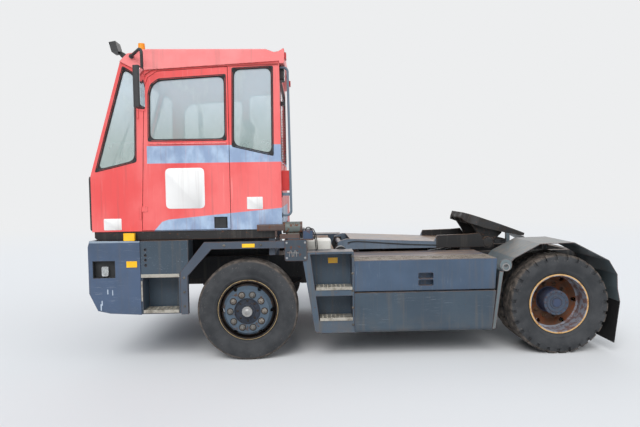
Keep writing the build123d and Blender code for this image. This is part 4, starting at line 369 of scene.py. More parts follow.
@dataclass(frozen=True)
class BandedEnamel:
    """The cab's red enamel with its blue-grey bands, chalked pink where the sun reaches it."""

    name: str
    colour: str = "#E2504F"
    faded: str = "#EE7876"
    band: str = "#8A9EBC"
    band_faded: str = "#A9BED6"

    def build(self) -> Material:
        """Colour by height, with bands whose lower and upper edges slope as the real ones do.

        Returns:
            The material.
        """
        s = Shader(self.name)
        edge, round_normal = s.edges(0.005)
        clouds = s.step(s.noise(1.6, 6.0, (1.0, 1.0, 0.6)), 0.36, 0.66)
        red = s.coat(self.colour, self.faded, clouds, 0.75)
        blue = s.coat(self.band, self.band_faded, s.step(s.noise(9.0, 6.0, (1.0, 1.0, 0.6), 2.0), 0.36, 0.68))
        # the upper band's foot and top edge, and its front end behind the door's post
        colour = s.coat(red, blue, s.past("Z", 1.958, 1.962), s.past("Z", 2.132, 2.128),
                        s.past("X", -2.034, -2.030))
        # the lower band's top edge, a long slope that curves down at the door: z - slope * x = level
        at = add_node(s.tree, "ShaderNodeSeparateXYZ", {0: s.place}).outputs
        under = []
        for slope, level in ((0.088, 1.5726), (0.35, 2.055), (1.1, 3.4825)):
            line = add_node(s.tree, "ShaderNodeMath", {0: at["X"], 1: -slope, 2: at["Z"]},
                            operation="MULTIPLY_ADD").outputs[0]
            under.append(s.step(line, level + 0.002, level - 0.002))
        colour = s.coat(colour, blue, *under)
        streaks = s.step(s.noise(1.0, 5.0, (26.0, 26.0, 1.3), 3.0), 0.52, 0.74)
        colour = s.coat(colour, "#8A5B58", streaks, 0.3)
        chalk = s.step(s.noise(1.0, 4.0, (40.0, 40.0, 2.2), 13.0), 0.58, 0.8)
        colour = s.coat(colour, "#F3B7B4", chalk, 0.35)
        rusty = s.rusty(edge, 30.0, (0.72, 0.78), (0.5, 0.64))
        colour = s.coat(colour, s.coat("#5A3328", "#8A5A45", s.noise(60.0, 4.0)), rusty)
        relief = s.chain("SUBTRACT", s.noise(70.0, 3.0, shift=31.0), s.chain("MULTIPLY", rusty, 0.3))
        return s.finish({"Base Color": colour, "Roughness": s.step(clouds, 0.0, 1.0, 0.38, 0.55),
                         "Specular IOR Level": 0.5}, relief, 0.0005, round_normal)


@dataclass(frozen=True)
class TyreRubber:
    """Moulded carbon-black rubber, greyed by dust, browner on the running face."""

    name: str
    centre_x: float
    rib_waves: float = 520.0

    def build(self) -> Material:
        """Shade by distance from the axle: bead, side wall, shoulder and tread.

        Returns:
            The material.
        """
        s = Shader(self.name)
        r = s.from_axle(self.centre_x)
        dust = s.step(s.noise(7.0, 6.0), 0.35, 0.7)
        wall = s.coat("#2B2D30", "#494A4C", dust, 0.7)
        tread = s.coat("#3A3633", "#6A6058", s.step(s.noise(18.0, 6.0, shift=4.0), 0.35, 0.7))
        colour = s.coat(wall, tread, s.step(r, TYRE_RADIUS - 0.03, TYRE_RADIUS - 0.012))
        scuffs = s.step(s.noise(60.0, 5.0, shift=9.0), 0.6, 0.72)
        colour = s.coat(colour, "#77706A", scuffs, s.step(r, 0.36, 0.45), 0.5)
        # rim protection ribs: fine waves between the bead and the side wall
        rings = add_node(s.tree, "ShaderNodeMath", {0: r, 1: self.rib_waves}, operation="MULTIPLY").outputs[0]
        waves = add_node(s.tree, "ShaderNodeMath", {0: rings}, operation="SINE").outputs[0]
        ribs = s.chain("MULTIPLY", s.step(waves, -0.4, 0.6), s.step(r, 0.345, 0.335), 0.5)
        return s.finish({"Base Color": colour, "Roughness": s.step(dust, 0.0, 1.0, 0.62, 0.85),
                         "Specular IOR Level": 0.35}, s.chain("ADD", s.noise(240.0, 3.0, shift=6.0), ribs),
                         0.0008)


@dataclass(frozen=True)
class RimEnamel:
    """Enamel on a pressed wheel, rusted in rings where water and brake heat reach it."""

    name: str
    centre_x: float
    ring_from: float
    disc_to: float
    hub_to: float
    barrel: str = "#8C909A"
    disc: str = "#5A3A26"
    hub: str = "#36415A"
    ring: str = "#DDB277"
    ring_dark: str = "#8F6236"
    rust: str = "#8A4A25"
    rust_share: float = 0.6

    def build(self) -> Material:
        """Shade by distance from the axle: hub, disc, barrel and flange ring.

        Returns:
            The material.
        """
        s = Shader(self.name)
        edge, round_normal = s.edges(0.004)
        r = s.from_axle(self.centre_x)
        blotch = s.noise(14.0, 8.0, rough=0.65)
        fine = s.noise(70.0, 6.0, shift=3.0)
        low = 0.68 - 0.3 * self.rust_share
        rusty = s.step(blotch, low, low + 0.1)
        oxide = s.coat("#42281A", self.rust, fine)
        colour = s.coat(self.hub, "#4C4440", rusty, 0.35)
        colour = s.coat(colour, s.coat(self.disc, oxide, rusty),
                        s.step(r, self.hub_to - 0.002, self.hub_to + 0.002))
        barrel = s.coat(self.barrel, oxide, rusty, 0.7)
        colour = s.coat(colour, barrel, s.step(r, self.disc_to - 0.002, self.disc_to + 0.002))
        ragged = add_node(s.tree, "ShaderNodeMath", {0: blotch, 1: 0.012, 2: r},
                          operation="MULTIPLY_ADD").outputs[0]
        ring = s.coat(self.ring, self.ring_dark, s.step(fine, 0.42, 0.62))
        ring = s.coat(self.ring, ring, s.step(blotch, 0.5, 0.6))
        colour = s.coat(colour, ring, s.step(ragged, self.ring_from + 0.004, self.ring_from + 0.008))
        colour = s.coat(colour, oxide, edge, s.step(blotch, 0.45, 0.6), 0.7)
        relief = s.chain("ADD", s.chain("MULTIPLY", fine, 0.6), s.chain("MULTIPLY", blotch, 0.4))
        return s.finish({"Base Color": colour, "Roughness": s.step(blotch, 0.4, 0.6, 0.5, 0.85),
                         "Specular IOR Level": 0.4}, relief, 0.0009, round_normal)


@dataclass(frozen=True)
class GreasedIron:
    """Grey iron casting, black with worked-in grease, bright or rusty where it rubs."""

    name: str
    colour: str = "#17181A"
    grease: str = "#25221F"
    rub: str = "#6B6259"
    rust: str = "#6A4028"
    wet: float = 0.5

    def build(self) -> Material:
        """Cast grain, patches of wet grease and rubbed edges.

        Returns:
            The material.
        """
        s = Shader(self.name)
        edge, round_normal = s.edges(0.008)
        patches = s.noise(9.0, 6.0)
        colour = s.coat(self.colour, self.grease, s.step(patches, 0.4, 0.6))
        colour = s.coat(colour, self.rust, s.step(s.noise(40.0, 6.0, shift=3.0), 0.6, 0.7), 0.5)
        colour = s.coat(colour, self.rub, edge, s.step(patches, 0.42, 0.6))
        rough = s.step(patches, 0.35, 0.62, 0.28 + 0.3 * (1 - self.wet), 0.8)
        return s.finish({"Base Color": colour, "Roughness": rough, "Specular IOR Level": 0.6},
                        s.noise(160.0, 4.0, shift=8.0), 0.0009, round_normal)


@dataclass(frozen=True)
class RolledSteel:
    """Hot-rolled steel plate, brown with rust and polished in streaks by use."""

    name: str
    colour: str
    rust: str
    pale: str

    def build(self) -> Material:
        """Blotched oxide with pale dusty patches.

        Returns:
            The material.
        """
        s = Shader(self.name)
        edge, round_normal = s.edges(0.006)
        blotch = s.noise(6.0, 8.0, rough=0.62)
        colour = s.coat(self.colour, self.rust, s.step(blotch, 0.42, 0.6))
        colour = s.coat(colour, self.pale, s.step(s.noise(3.0, 6.0, shift=9.0), 0.45, 0.65), 0.7)
        colour = s.coat(colour, self.rust, edge, 0.5)
        return s.finish({"Base Color": colour, "Roughness": s.step(blotch, 0.35, 0.65, 0.55, 0.85)},
                        s.noise(120.0, 5.0, shift=4.0), 0.0007, round_normal)


@dataclass(frozen=True)
class MillAluminium:
    """Mill-finish aluminium tread plate, dulled and scraped by boots."""

    name: str
    colour: str = "#B5B0A5"
    soil: str = "#6E675C"

    def build(self) -> Material:
        """Dull metal with soil in its hollows and bright scrapes.

        Returns:
            The material.
        """
        s = Shader(self.name)
        edge, round_normal = s.edges(0.002)
        grime = s.step(s.noise(14.0, 7.0), 0.4, 0.68)
        colour = s.coat(self.colour, self.soil, grime, 0.8)
        colour = s.coat(colour, "#D8D5CC", edge, 0.6)
        return s.finish({"Base Color": colour, "Metallic": 0.55,
                         "Roughness": s.step(grime, 0.0, 1.0, 0.38, 0.7)},
                        s.noise(200.0, 3.0, (1.0, 6.0, 6.0)), 0.0003, round_normal)


@dataclass(frozen=True)
class Moulding:
    """Injection-moulded plastic or rubber with a fine grain."""

    name: str
    colour: str = "#1B1C1E"
    faded: str = "#2E2F31"
    roughness: float = 0.55
    grain: float = 320.0
    depth: float = 0.0003
    accents: Accents = ()

    def build(self) -> Material:
        """Fine leather-like grain with a little greying, and other colours inside their boxes.

        Returns:
            The material.
        """
        s = Shader(self.name)
        _, round_normal = s.edges(0.002)
        colour = s.coat(self.colour, self.faded, s.step(s.noise(6.0, 5.0), 0.35, 0.7))
        for shade, box in self.accents:
            colour = s.coat(colour, shade, s.within(box))
        return s.finish({"Base Color": colour, "Roughness": self.roughness}, s.noise(self.grain, 2.0),
                        self.depth, round_normal)


@dataclass(frozen=True)
class CabGlass:
    """Flat toughened cab glass with a painted reflection: pale blue with sky light high up, darker grey-green
    low down.
    """

    name: str
    sky_reflection_tint: str = "#DDEFF7"
    low_reflection_tint: str = "#B2C6C1"
    film: str = "#BCC6C4"
    alpha: float = 0.40

    def build(self) -> Material:
        """See-through sheet whose film of dust thickens in patches.

        Returns:
            The material.
        """
        s = Shader(self.name)
        dust = s.step(s.noise(5.0, 6.0, (1.0, 1.0, 0.5)), 0.45, 0.75)
        # painted reflection: darker grey-green low on the pane, pale sky blue high up; the dust film goes
        # over it
        body = s.coat(self.low_reflection_tint, self.sky_reflection_tint, s.past("Z", 2.0, 2.75))
        return s.finish({"Base Color": s.coat(body, self.film, dust, 0.6), "Roughness": 0.03, "IOR": 1.5,
                         "Alpha": s.step(dust, 0.0, 1.0, self.alpha, self.alpha + 0.15),
                         "Specular IOR Level": 0.8})


@dataclass(frozen=True)
class LampLens:
    """Moulded polycarbonate or acrylic lens, clear or coloured through."""

    name: str
    colour: str = "#E8ECEC"
    transmission: float = 0.6
    roughness: float = 0.08

    def build(self) -> Material:
        """Coloured lens whose fine flutes break up the light.

        Returns:
            The material.
        """
        s = Shader(self.name)
        colour = s.coat(self.colour, "#9A958C", s.step(s.noise(30.0, 4.0), 0.35, 0.7), 0.25)
        return s.finish({"Base Color": colour, "Roughness": self.roughness,
                         "Transmission Weight": self.transmission,
                         "IOR": 1.49}, s.noise(60.0, 1.0, (1.0, 1.0, 6.0)), 0.0006)


@dataclass(frozen=True)
class BrightMetal:
    """Plated, polished or silvered metal."""

    name: str
    colour: str = "#C9CACC"
    roughness: float = 0.12
    soil: str = "#8B8680"

    def build(self) -> Material:
        """Bright metal with a thin uneven film.

        Returns:
            The material.
        """
        s = Shader(self.name)
        film = s.step(s.noise(20.0, 6.0), 0.45, 0.75)
        return s.finish({"Base Color": s.coat(self.colour, self.soil, film, 0.5), "Metallic": 1.0,
                         "Roughness": s.step(film, 0.0, 1.0, self.roughness, self.roughness + 0.25)},
                        s.noise(150.0, 3.0), 0.0001)


@dataclass(frozen=True)
class WovenCloth:
    """Plain-weave polyester seat cloth, its threads 1.2 mm apart."""

    name: str
    colour: str = "#2A2D33"
    thread: str = "#3D4149"
    pitch_mm: float = 2.4

    def build(self) -> Material:
        """Two crossed sets of threads, drawn twice as coarse as they are so that they show.

        Returns:
            The material.
        """
        s = Shader(self.name)
        waves = [add_node(s.tree, "ShaderNodeTexWave", {
            "Vector": s.place, "Scale": 1 / (self.pitch_mm * MM) / math.tau, "Distortion": 0.4},
            bands_direction=direction).outputs["Fac"] for direction in ("X", "Z")]
        weave = s.chain("MULTIPLY", *waves)
        colour = s.coat(self.colour, self.thread, weave)
        colour = s.coat(colour, "#55575B", s.step(s.noise(6.0, 4.0), 0.4, 0.7), 0.3)
        return s.finish({"Base Color": colour, "Roughness": 0.92, "Sheen Weight": 0.3}, weave, 0.0005)


# Shapes that the pieces are made from


class Axis(Enum):
    """The direction in which an outline is pushed or turned."""

    X = 0
    Y = 1
    Z = 2

    def place(self, u: float, v: float, along: float) -> Vector:
        """Put two outline coordinates and a distance along the axis into the frame.

        Args:
            u: The first of the outline's coordinates.
            v: The second of them.
            along: The distance along the axis.

        Returns:
            The point in the frame.
        """
        spot = [u, v]
        spot.insert(self.value, along)
        return Vector(spot)


def box_outline(u0: float, u1: float, v0: float, v1: float) -> list[Row]:
    """The four corners of a rectangle."""
    return [(u0, v0), (u1, v0), (u1, v1), (u0, v1)]


def rounded(corners: Sequence[Sequence[float]], radius: float, steps: int = 5) -> list[tuple[float, ...]]:
    """Round every corner of an outline.

    Args:
        corners: The sharp outline, in two or three dimensions.
        radius: How far from the corner the curve starts, in metres.
        steps: Straight pieces in each curve.

    Returns:
        The rounded outline, with steps + 1 points for each corner.
    """
    points = []
    for i, corner in enumerate(corners):
        here = Vector(corner)
        before = Vector(corners[i - 1]) - here
        after = Vector(corners[(i + 1) % len(corners)]) - here
        reach = min(radius, before.length * 0.49, after.length * 0.49)
        start = here + before.normalized() * reach
        end = here + after.normalized() * reach
        for k in range(steps + 1):
            t = k / steps
            points.append(tuple((1 - t) ** 2 * start + 2 * t * (1 - t) * here + t * t * end))
    return points


def prism(shape: Shape, outline: Sequence[Sequence[float]], low: float, high: float, axis: Axis = Axis.Y,
          edge: float = 0.0) -> None:
    """Push an outline along an axis and break its rims with a small bevel.

    Args:
        shape: The mesh that takes the body.
        outline: Points in the plane across the axis.
        low: Where the body starts on the axis.
        high: Where it ends.
        axis: The direction it is pushed in.
        edge: Width of the bevel, in metres.
    """
    first = [shape.verts.new(axis.place(u, v, low)) for u, v in outline]
    second = [shape.verts.new(axis.place(u, v, high)) for u, v in outline]
    caps = [shape.faces.new(first), shape.faces.new(second[::-1])]
    for i, vert in enumerate(first):
        shape.faces.new((vert, first[i - 1], second[i - 1], second[i]))
    if edge > 0:
        rims = list({e for cap in caps for e in cap.edges})
        bmesh.ops.bevel(shape, geom=rims, offset=edge, segments=2, profile=0.5, affect="EDGES",
                        clamp_overlap=True)


def band(shape: Shape, loops: Sequence[Sequence[Sequence[float]]]) -> None:
    """Join loops of points, the last one to the first, into a closed frame.

    Args:
        shape: The mesh that takes the frame.
        loops: Loops of points, all with the same count.
    """
    rings = [[shape.verts.new(point) for point in loop] for loop in loops]
    for low, high in zip(rings, rings[1:] + rings[:1]):
        for k, vert in enumerate(low):
            shape.faces.new((low[k - 1], vert, high[k], high[k - 1]))


def lathe(shape: Shape, rows: Sequence[Row], centre: Point, steps: int = 48, axis: Axis = Axis.Y,
          closed: bool = False, sign: float = 1.0) -> list[list[bmesh.types.BMVert]]:
    """Turn a profile round an axis.

    Args:
        shape: The mesh that takes the body.
        rows: Radius and distance along the axis, from one end of the profile to the other.
        centre: The point that the distances start from.
        steps: Faces round the body.
        axis: The axis it is turned round.
        closed: Whether the last row joins the first, as on a ring.
        sign: -1 to measure the distances the other way.

    Returns:
        The rings of vertices, one for each row.
    """
    angles = [math.tau * k / steps for k in range(steps)]
    middle = Vector(centre)
    rings = [[shape.verts.new(middle + axis.place(r * math.cos(a), r * math.sin(a), along * sign))
              for a in angles]
             for r, along in rows]
    for i in range(0 if closed else 1, len(rings)):
        for k in range(steps):
            shape.faces.new((rings[i - 1][k - 1], rings[i - 1][k], rings[i][k], rings[i][k - 1]))
    return rings


def put(name: str, data: bpy.types.ID) -> bpy.types.Object:
    """Put new data into the scene, as an object at the origin.

    Args:
        name: The object's plain name.
        data: Its mesh, curve, camera or lamp.

    Returns:
        The object.
    """
    thing = bpy.data.objects.new(name, data)
    bpy.context.scene.collection.objects.link(thing)
    return thing


def settled(thing: bpy.types.Object) -> bpy.types.Mesh:
    """The plain mesh that an object's modifiers or its curve give."""
    return bpy.data.meshes.new_from_object(thing.evaluated_get(bpy.context.evaluated_depsgraph_get()))


def bar_line(name: str, points: Sequence[Point], radius: float, along: int, around: int,
             closed: bool = False) -> bpy.types.Curve:
    """Draw a round bar that follows points in one smooth line.

    Args:
        name: The curve's plain name.
        points: The points that the bar follows.
        radius: The bar's radius, in metres.
        along: Steps from one point to the next.
        around: Fineness of its round.
        closed: Whether its ends meet.

    Returns:
        The curve.
    """
    line = bpy.data.curves.new(name, "CURVE")
    line.dimensions = "3D"
    spline = line.splines.new("NURBS")
    spline.points.add(len(points) - 1)
    for knot, point in zip(spline.points, points):
        knot.co = (*point, 1.0)
    spline.order_u = 3
    spline.use_endpoint_u = not closed
    spline.use_cyclic_u = closed
    line.resolution_u = along
    line.bevel_depth = radius
    line.bevel_resolution = around
    line.use_fill_caps = True
    return line


def rod(shape: Shape, points: Sequence[Point], radius: float, closed: bool = False) -> None:
    """Add a bent round bar to a shape.

    Args:
        shape: The mesh that takes the bar.
        points: The points that the bar follows.
        radius: The bar's radius, in metres.
        closed: Whether its ends meet.
    """
    holder = put("bar", bar_line("bar", points, radius, 6, 3, closed))
    mesh = settled(holder)
    shape.from_mesh(mesh)
    bpy.data.objects.remove(holder)
    bpy.data.meshes.remove(mesh)


def bolt_head(across: float, height: float, sign: float, washer: float = 1.5) -> Shape:
    """One chamfered hexagon head on its washer, facing a side.

    Args:
        across: Half the width across the corners, in metres.
        height: Height of the head.
        sign: -1 to face left, 1 to face right.
        washer: The washer's radius as a share of the head's.

    Returns:
        The head at the origin.
    """
    unit = bmesh.new()
    lathe(unit, [(0.0, height), (across * 0.82, height), (across, height * 0.82), (across, 0.0)], ORIGIN, 6,
          sign=sign)
    lathe(unit, [(across * washer, 0.0), (across * washer, height * 0.2), (across * 0.8, height * 0.25)],
          ORIGIN, 14, sign=sign)
    return unit


def flat_copy(node: bpy.types.Object) -> Shape:
    """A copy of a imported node, its loose triangles merged into flat faces.

    Args:
        node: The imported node.

    Returns:
        The copy's mesh.
    """
    shape = bmesh.new()
    shape.from_mesh(node.data)
    bmesh.ops.remove_doubles(shape, verts=shape.verts, dist=0.0001)
    bmesh.ops.dissolve_limit(shape, angle_limit=0.02, verts=shape.verts, edges=shape.edges)
    return shape


def add_piece(name: str, shape: Shape, material: Material, body: str,
              stands_for: Sequence[str] = (), smooth_deg: float = 32.0) -> None:
    """Turn a finished shape into a piece that rides on a body.

    Args:
        name: The piece's plain name.
        shape: Its mesh, which is used up.
        material: Its finish.
        body: The body that carries it.
        stands_for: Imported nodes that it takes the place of.
        smooth_deg: Edges sharper than this stay sharp.
    """
    bmesh.ops.remove_doubles(shape, verts=shape.verts, dist=0.00002)
    bmesh.ops.recalc_face_normals(shape, faces=shape.faces)
    mesh = bpy.data.meshes.new(name)
    shape.to_mesh(mesh)
    shape.free()
    mesh.materials.append(material)
    mesh.shade_smooth()
    mesh.set_sharp_from_angle(angle=math.radians(smooth_deg))
    piece = put(name, mesh)
    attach(piece, body)
    if stands_for:
        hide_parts(*stands_for)
    LOG.info("%s on %s, %d faces", name, body, len(mesh.polygons))


# Repeated parts, by Geometry Nodes


class Layout(Enum):
    """How a repeated part is laid out: the named inputs and their kinds."""

    RING = (("Count", "Int"), ("Radius", "Float"), ("Centre", "Vector"))
    GRID = (("Columns", "Int"), ("Column Step", "Vector"), ("Rows", "Int"), ("Row Step", "Vector"),
            ("Start", "Vector"))


@dataclass
class Repeater:
    """A Geometry Nodes tree that repeats its own mesh in a ring or in rows."""

    layout: Layout

    def __post_init__(self) -> None:
        """Build the tree with its named inputs, each count 1 unless it is given."""
        tree = bpy.data.node_groups.new(f"repeat_{self.layout.name.lower()}", "GeometryNodeTree")
        tree.interface.new_socket("Geometry", in_out="INPUT", socket_type="NodeSocketGeometry")
        for label, kind in (*self.layout.value, ("Finish", "Material")):
            socket = tree.interface.new_socket(label, in_out="INPUT", socket_type=f"NodeSocket{kind}")
            if kind == "Int":
                socket.default_value = 1
        tree.interface.new_socket("Geometry", in_out="OUTPUT", socket_type="NodeSocketGeometry")
        self.tree = tree
        given = add_node(tree, "NodeGroupInput").outputs
        placed = self.ring(given) if self.layout is Layout.RING else self.rows(given)
        real = add_node(tree, "GeometryNodeRealizeInstances", {"Geometry": placed})
        dressed = add_node(tree, "GeometryNodeSetMaterial", {
            "Geometry": real.outputs[0], "Material": given["Finish"]})
        add_node(tree, "NodeGroupOutput", {"Geometry": dressed.outputs[0]})

    def ring(self, given: bpy.types.bpy_prop_collection) -> Socket:
        """Place the part on an upright circle, turned to face outwards.

        Args:
            given: The tree's inputs.

        Returns:
            The placed instances.
        """
        circle = add_node(self.tree, "GeometryNodeMeshCircle", {
            "Vertices": given["Count"], "Radius": given["Radius"]})
        upright = add_node(self.tree, "GeometryNodeTransform", {
            "Geometry": circle.outputs[0], "Translation": given["Centre"],
            "Rotation": (math.pi / 2, 0.0, 0.0)})
        share = add_node(self.tree, "ShaderNodeMath", {0: -math.tau, 1: given["Count"]}, operation="DIVIDE")
        index = add_node(self.tree, "GeometryNodeInputIndex")
        turn = add_node(self.tree, "ShaderNodeMath", {0: index.outputs[0], 1: share.outputs[0]},
                        operation="MULTIPLY")
        angles = add_node(self.tree, "ShaderNodeCombineXYZ", {"Y": turn.outputs[0]})
        return add_node(self.tree, "GeometryNodeInstanceOnPoints", {
            "Points": upright.outputs[0], "Instance": given["Geometry"], "Rotation": angles.outputs[0],
        }).outputs[0]

    def rows(self, given: bpy.types.bpy_prop_collection) -> Socket:
        """Place the part in a row, and the row as often as there are rows.

        Args:
            given: The tree's inputs.

        Returns:
            The placed instances.
        """
        placed = given["Geometry"]
        for count, start, offset in (("Columns", given["Start"], "Column Step"),
                                     ("Rows", ORIGIN, "Row Step")):
            line = add_node(self.tree, "GeometryNodeMeshLine", {
                "Count": given[count], "Start Location": start, "Offset": given[offset]})
            placed = add_node(self.tree, "GeometryNodeInstanceOnPoints", {
                "Points": line.outputs[0], "Instance": placed}).outputs[0]
        return placed

    def spread(self, shape: Shape, unit: Shape, finish: Material, **values: object) -> None:
        """Repeat a part and add the result to a shape.

        Args:
            shape: The mesh that takes the repeated parts.
            unit: One part at the origin, which is used up.
            finish: The material that the tree sets.
            values: The tree's inputs, with underscores for spaces.
        """
        mesh = bpy.data.meshes.new("unit")
        unit.to_mesh(mesh)
        unit.free()
        holder = put("unit", mesh)
        modifier = holder.modifiers.new("repeat", "NODES")
        modifier.node_group = self.tree
        wanted = {key.replace("_", " ").title(): value for key, value in values.items()} | {"Finish": finish}
        for item in self.tree.interface.items_tree:
            if item.in_out == "INPUT" and item.name in wanted:
                modifier[item.identifier] = wanted[item.name]
        result = settled(holder)
        holder.modifiers.remove(modifier)
        shape.from_mesh(result)
        bpy.data.objects.remove(holder)
        bpy.data.meshes.remove(result)


# Studio


@dataclass
class Studio:
    """Pale floor, plain backdrop, soft lamps and the photograph's camera."""

    eye: Point = (-0.4813, -6.8058, 1.695)
    yaw_deg: float = 1.28
    pitch_deg: float = 2.56
    roll_deg: float = 0.96
    focal_px: float = 570.0
    frame_px: float = 640.0
    sensor: float = 36.0
    floor_half: float = 60.0
    fade_from: float = 7.0
    fade_to: float = 26.0
    sky_strength: float = 0.62
    sky: str = "#DDE3EA"
    ground: str = "#E4E5E6"
    backdrop: str = "#EDEEEF"

    def camera(self) -> None:
        """Stand the camera where the photograph was taken from."""
        yaw, pitch, roll = (math.radians(a) for a in (self.yaw_deg, self.pitch_deg, self.roll_deg))
        ahead = Vector((math.sin(yaw) * math.cos(pitch), math.cos(yaw) * math.cos(pitch), -math.sin(pitch)))
        level = Vector((math.cos(yaw), -math.sin(yaw), 0.0))
        down = ahead.cross(level)
        right = math.cos(roll) * level + math.sin(roll) * down
        up = -(-math.sin(roll) * level + math.cos(roll) * down)
        data = bpy.data.cameras.new("photo_camera")
        data.sensor_width = self.sensor
        data.lens = self.focal_px / self.frame_px * self.sensor
        camera = put("photo_camera", data)
        camera.matrix_world = Matrix.Translation(self.eye) @ Matrix((right, up, -ahead)).transposed().to_4x4()
        bpy.context.scene.camera = camera

    def seen_rays(self, tree: bpy.types.NodeTree) -> Socket:
        """Say which rays see the backdrop: camera, glossy and transmission rays.

        Args:
            tree: The material's or the world's tree.

        Returns:
            1 for a ray that sees the backdrop and 0 for any other.
        """
        path = add_node(tree, "ShaderNodeLightPath").outputs
        seen = path["Is Camera Ray"]
        for kind in ("Is Glossy Ray", "Is Transmission Ray"):
            seen = add_node(tree, "ShaderNodeMath", {0: seen, 1: path[kind]}, operation="MAXIMUM").outputs[0]
        return seen

    def world(self) -> None:
        """Even pale sky: bright to look at, softer as a light."""
        world = bpy.data.worlds.new("studio")
        bpy.context.scene.world = world
        world.use_nodes = True
        tree = world.node_tree
        tree.nodes.clear()
        lit = add_node(tree, "ShaderNodeBackground",
                       {"Color": linear(self.sky), "Strength": self.sky_strength})
        seen = add_node(tree, "ShaderNodeBackground", {"Color": linear(self.backdrop), "Strength": 1.0})
        both = add_node(tree, "ShaderNodeMixShader",
                        {0: self.seen_rays(tree), 1: lit.outputs[0], 2: seen.outputs[0]})
        add_node(tree, "ShaderNodeOutputWorld", {"Surface": both.outputs[0]})

    def floor(self) -> None:
        """A wide pale floor that keeps the tractor's shadow and melts into the backdrop far off."""
        mesh = bpy.data.meshes.new("floor")
        half = self.floor_half
        mesh.from_pydata([(x, y, 0) for x, y in box_outline(-half, half, -half, half)], [], [(0, 1, 2, 3)])
        s = Shader("studio_floor")
        flat = add_node(s.tree, "ShaderNodeVectorMath", {0: s.place}, operation="LENGTH").outputs["Value"]
        share = s.chain("MULTIPLY", s.step(flat, self.fade_from, self.fade_to), self.seen_rays(s.tree))
        paint = add_node(s.tree, "ShaderNodeBsdfDiffuse", {"Color": linear(self.ground)})
        glow = add_node(s.tree, "ShaderNodeEmission", {"Color": linear(self.backdrop), "Strength": 1.0})
        both = add_node(s.tree, "ShaderNodeMixShader", {0: share, 1: paint.outputs[0], 2: glow.outputs[0]})
        add_node(s.tree, "ShaderNodeOutputMaterial", {"Surface": both.outputs[0]})
        mesh.materials.append(s.material)
        put("floor", mesh)

    def lamps(self) -> None:
        """One soft high sun from the camera's left and two weak fills."""
        # name, strength, the width that softens its shadow, and its turns, in degrees
        for name, power, angle, tilt in (
            ("key", 2.0, 38.0, (48.0, 8.0, -24.0)),
            ("fill", 0.6, 60.0, (62.0, 0.0, 48.0)),
            ("back", 0.5, 60.0, (55.0, 0.0, 175.0)),
        ):
            data = bpy.data.lights.new(name, "SUN")
            data.energy = power
            data.angle = math.radians(angle)
            put(name, data).rotation_euler = [math.radians(a) for a in tilt]

    def build(self) -> None:
        """Set up everything round the tractor."""
        bpy.context.scene.view_settings.view_transform = "Standard"
        self.camera()
        self.world()
        self.floor()
        self.lamps()


# Sub-assemblies


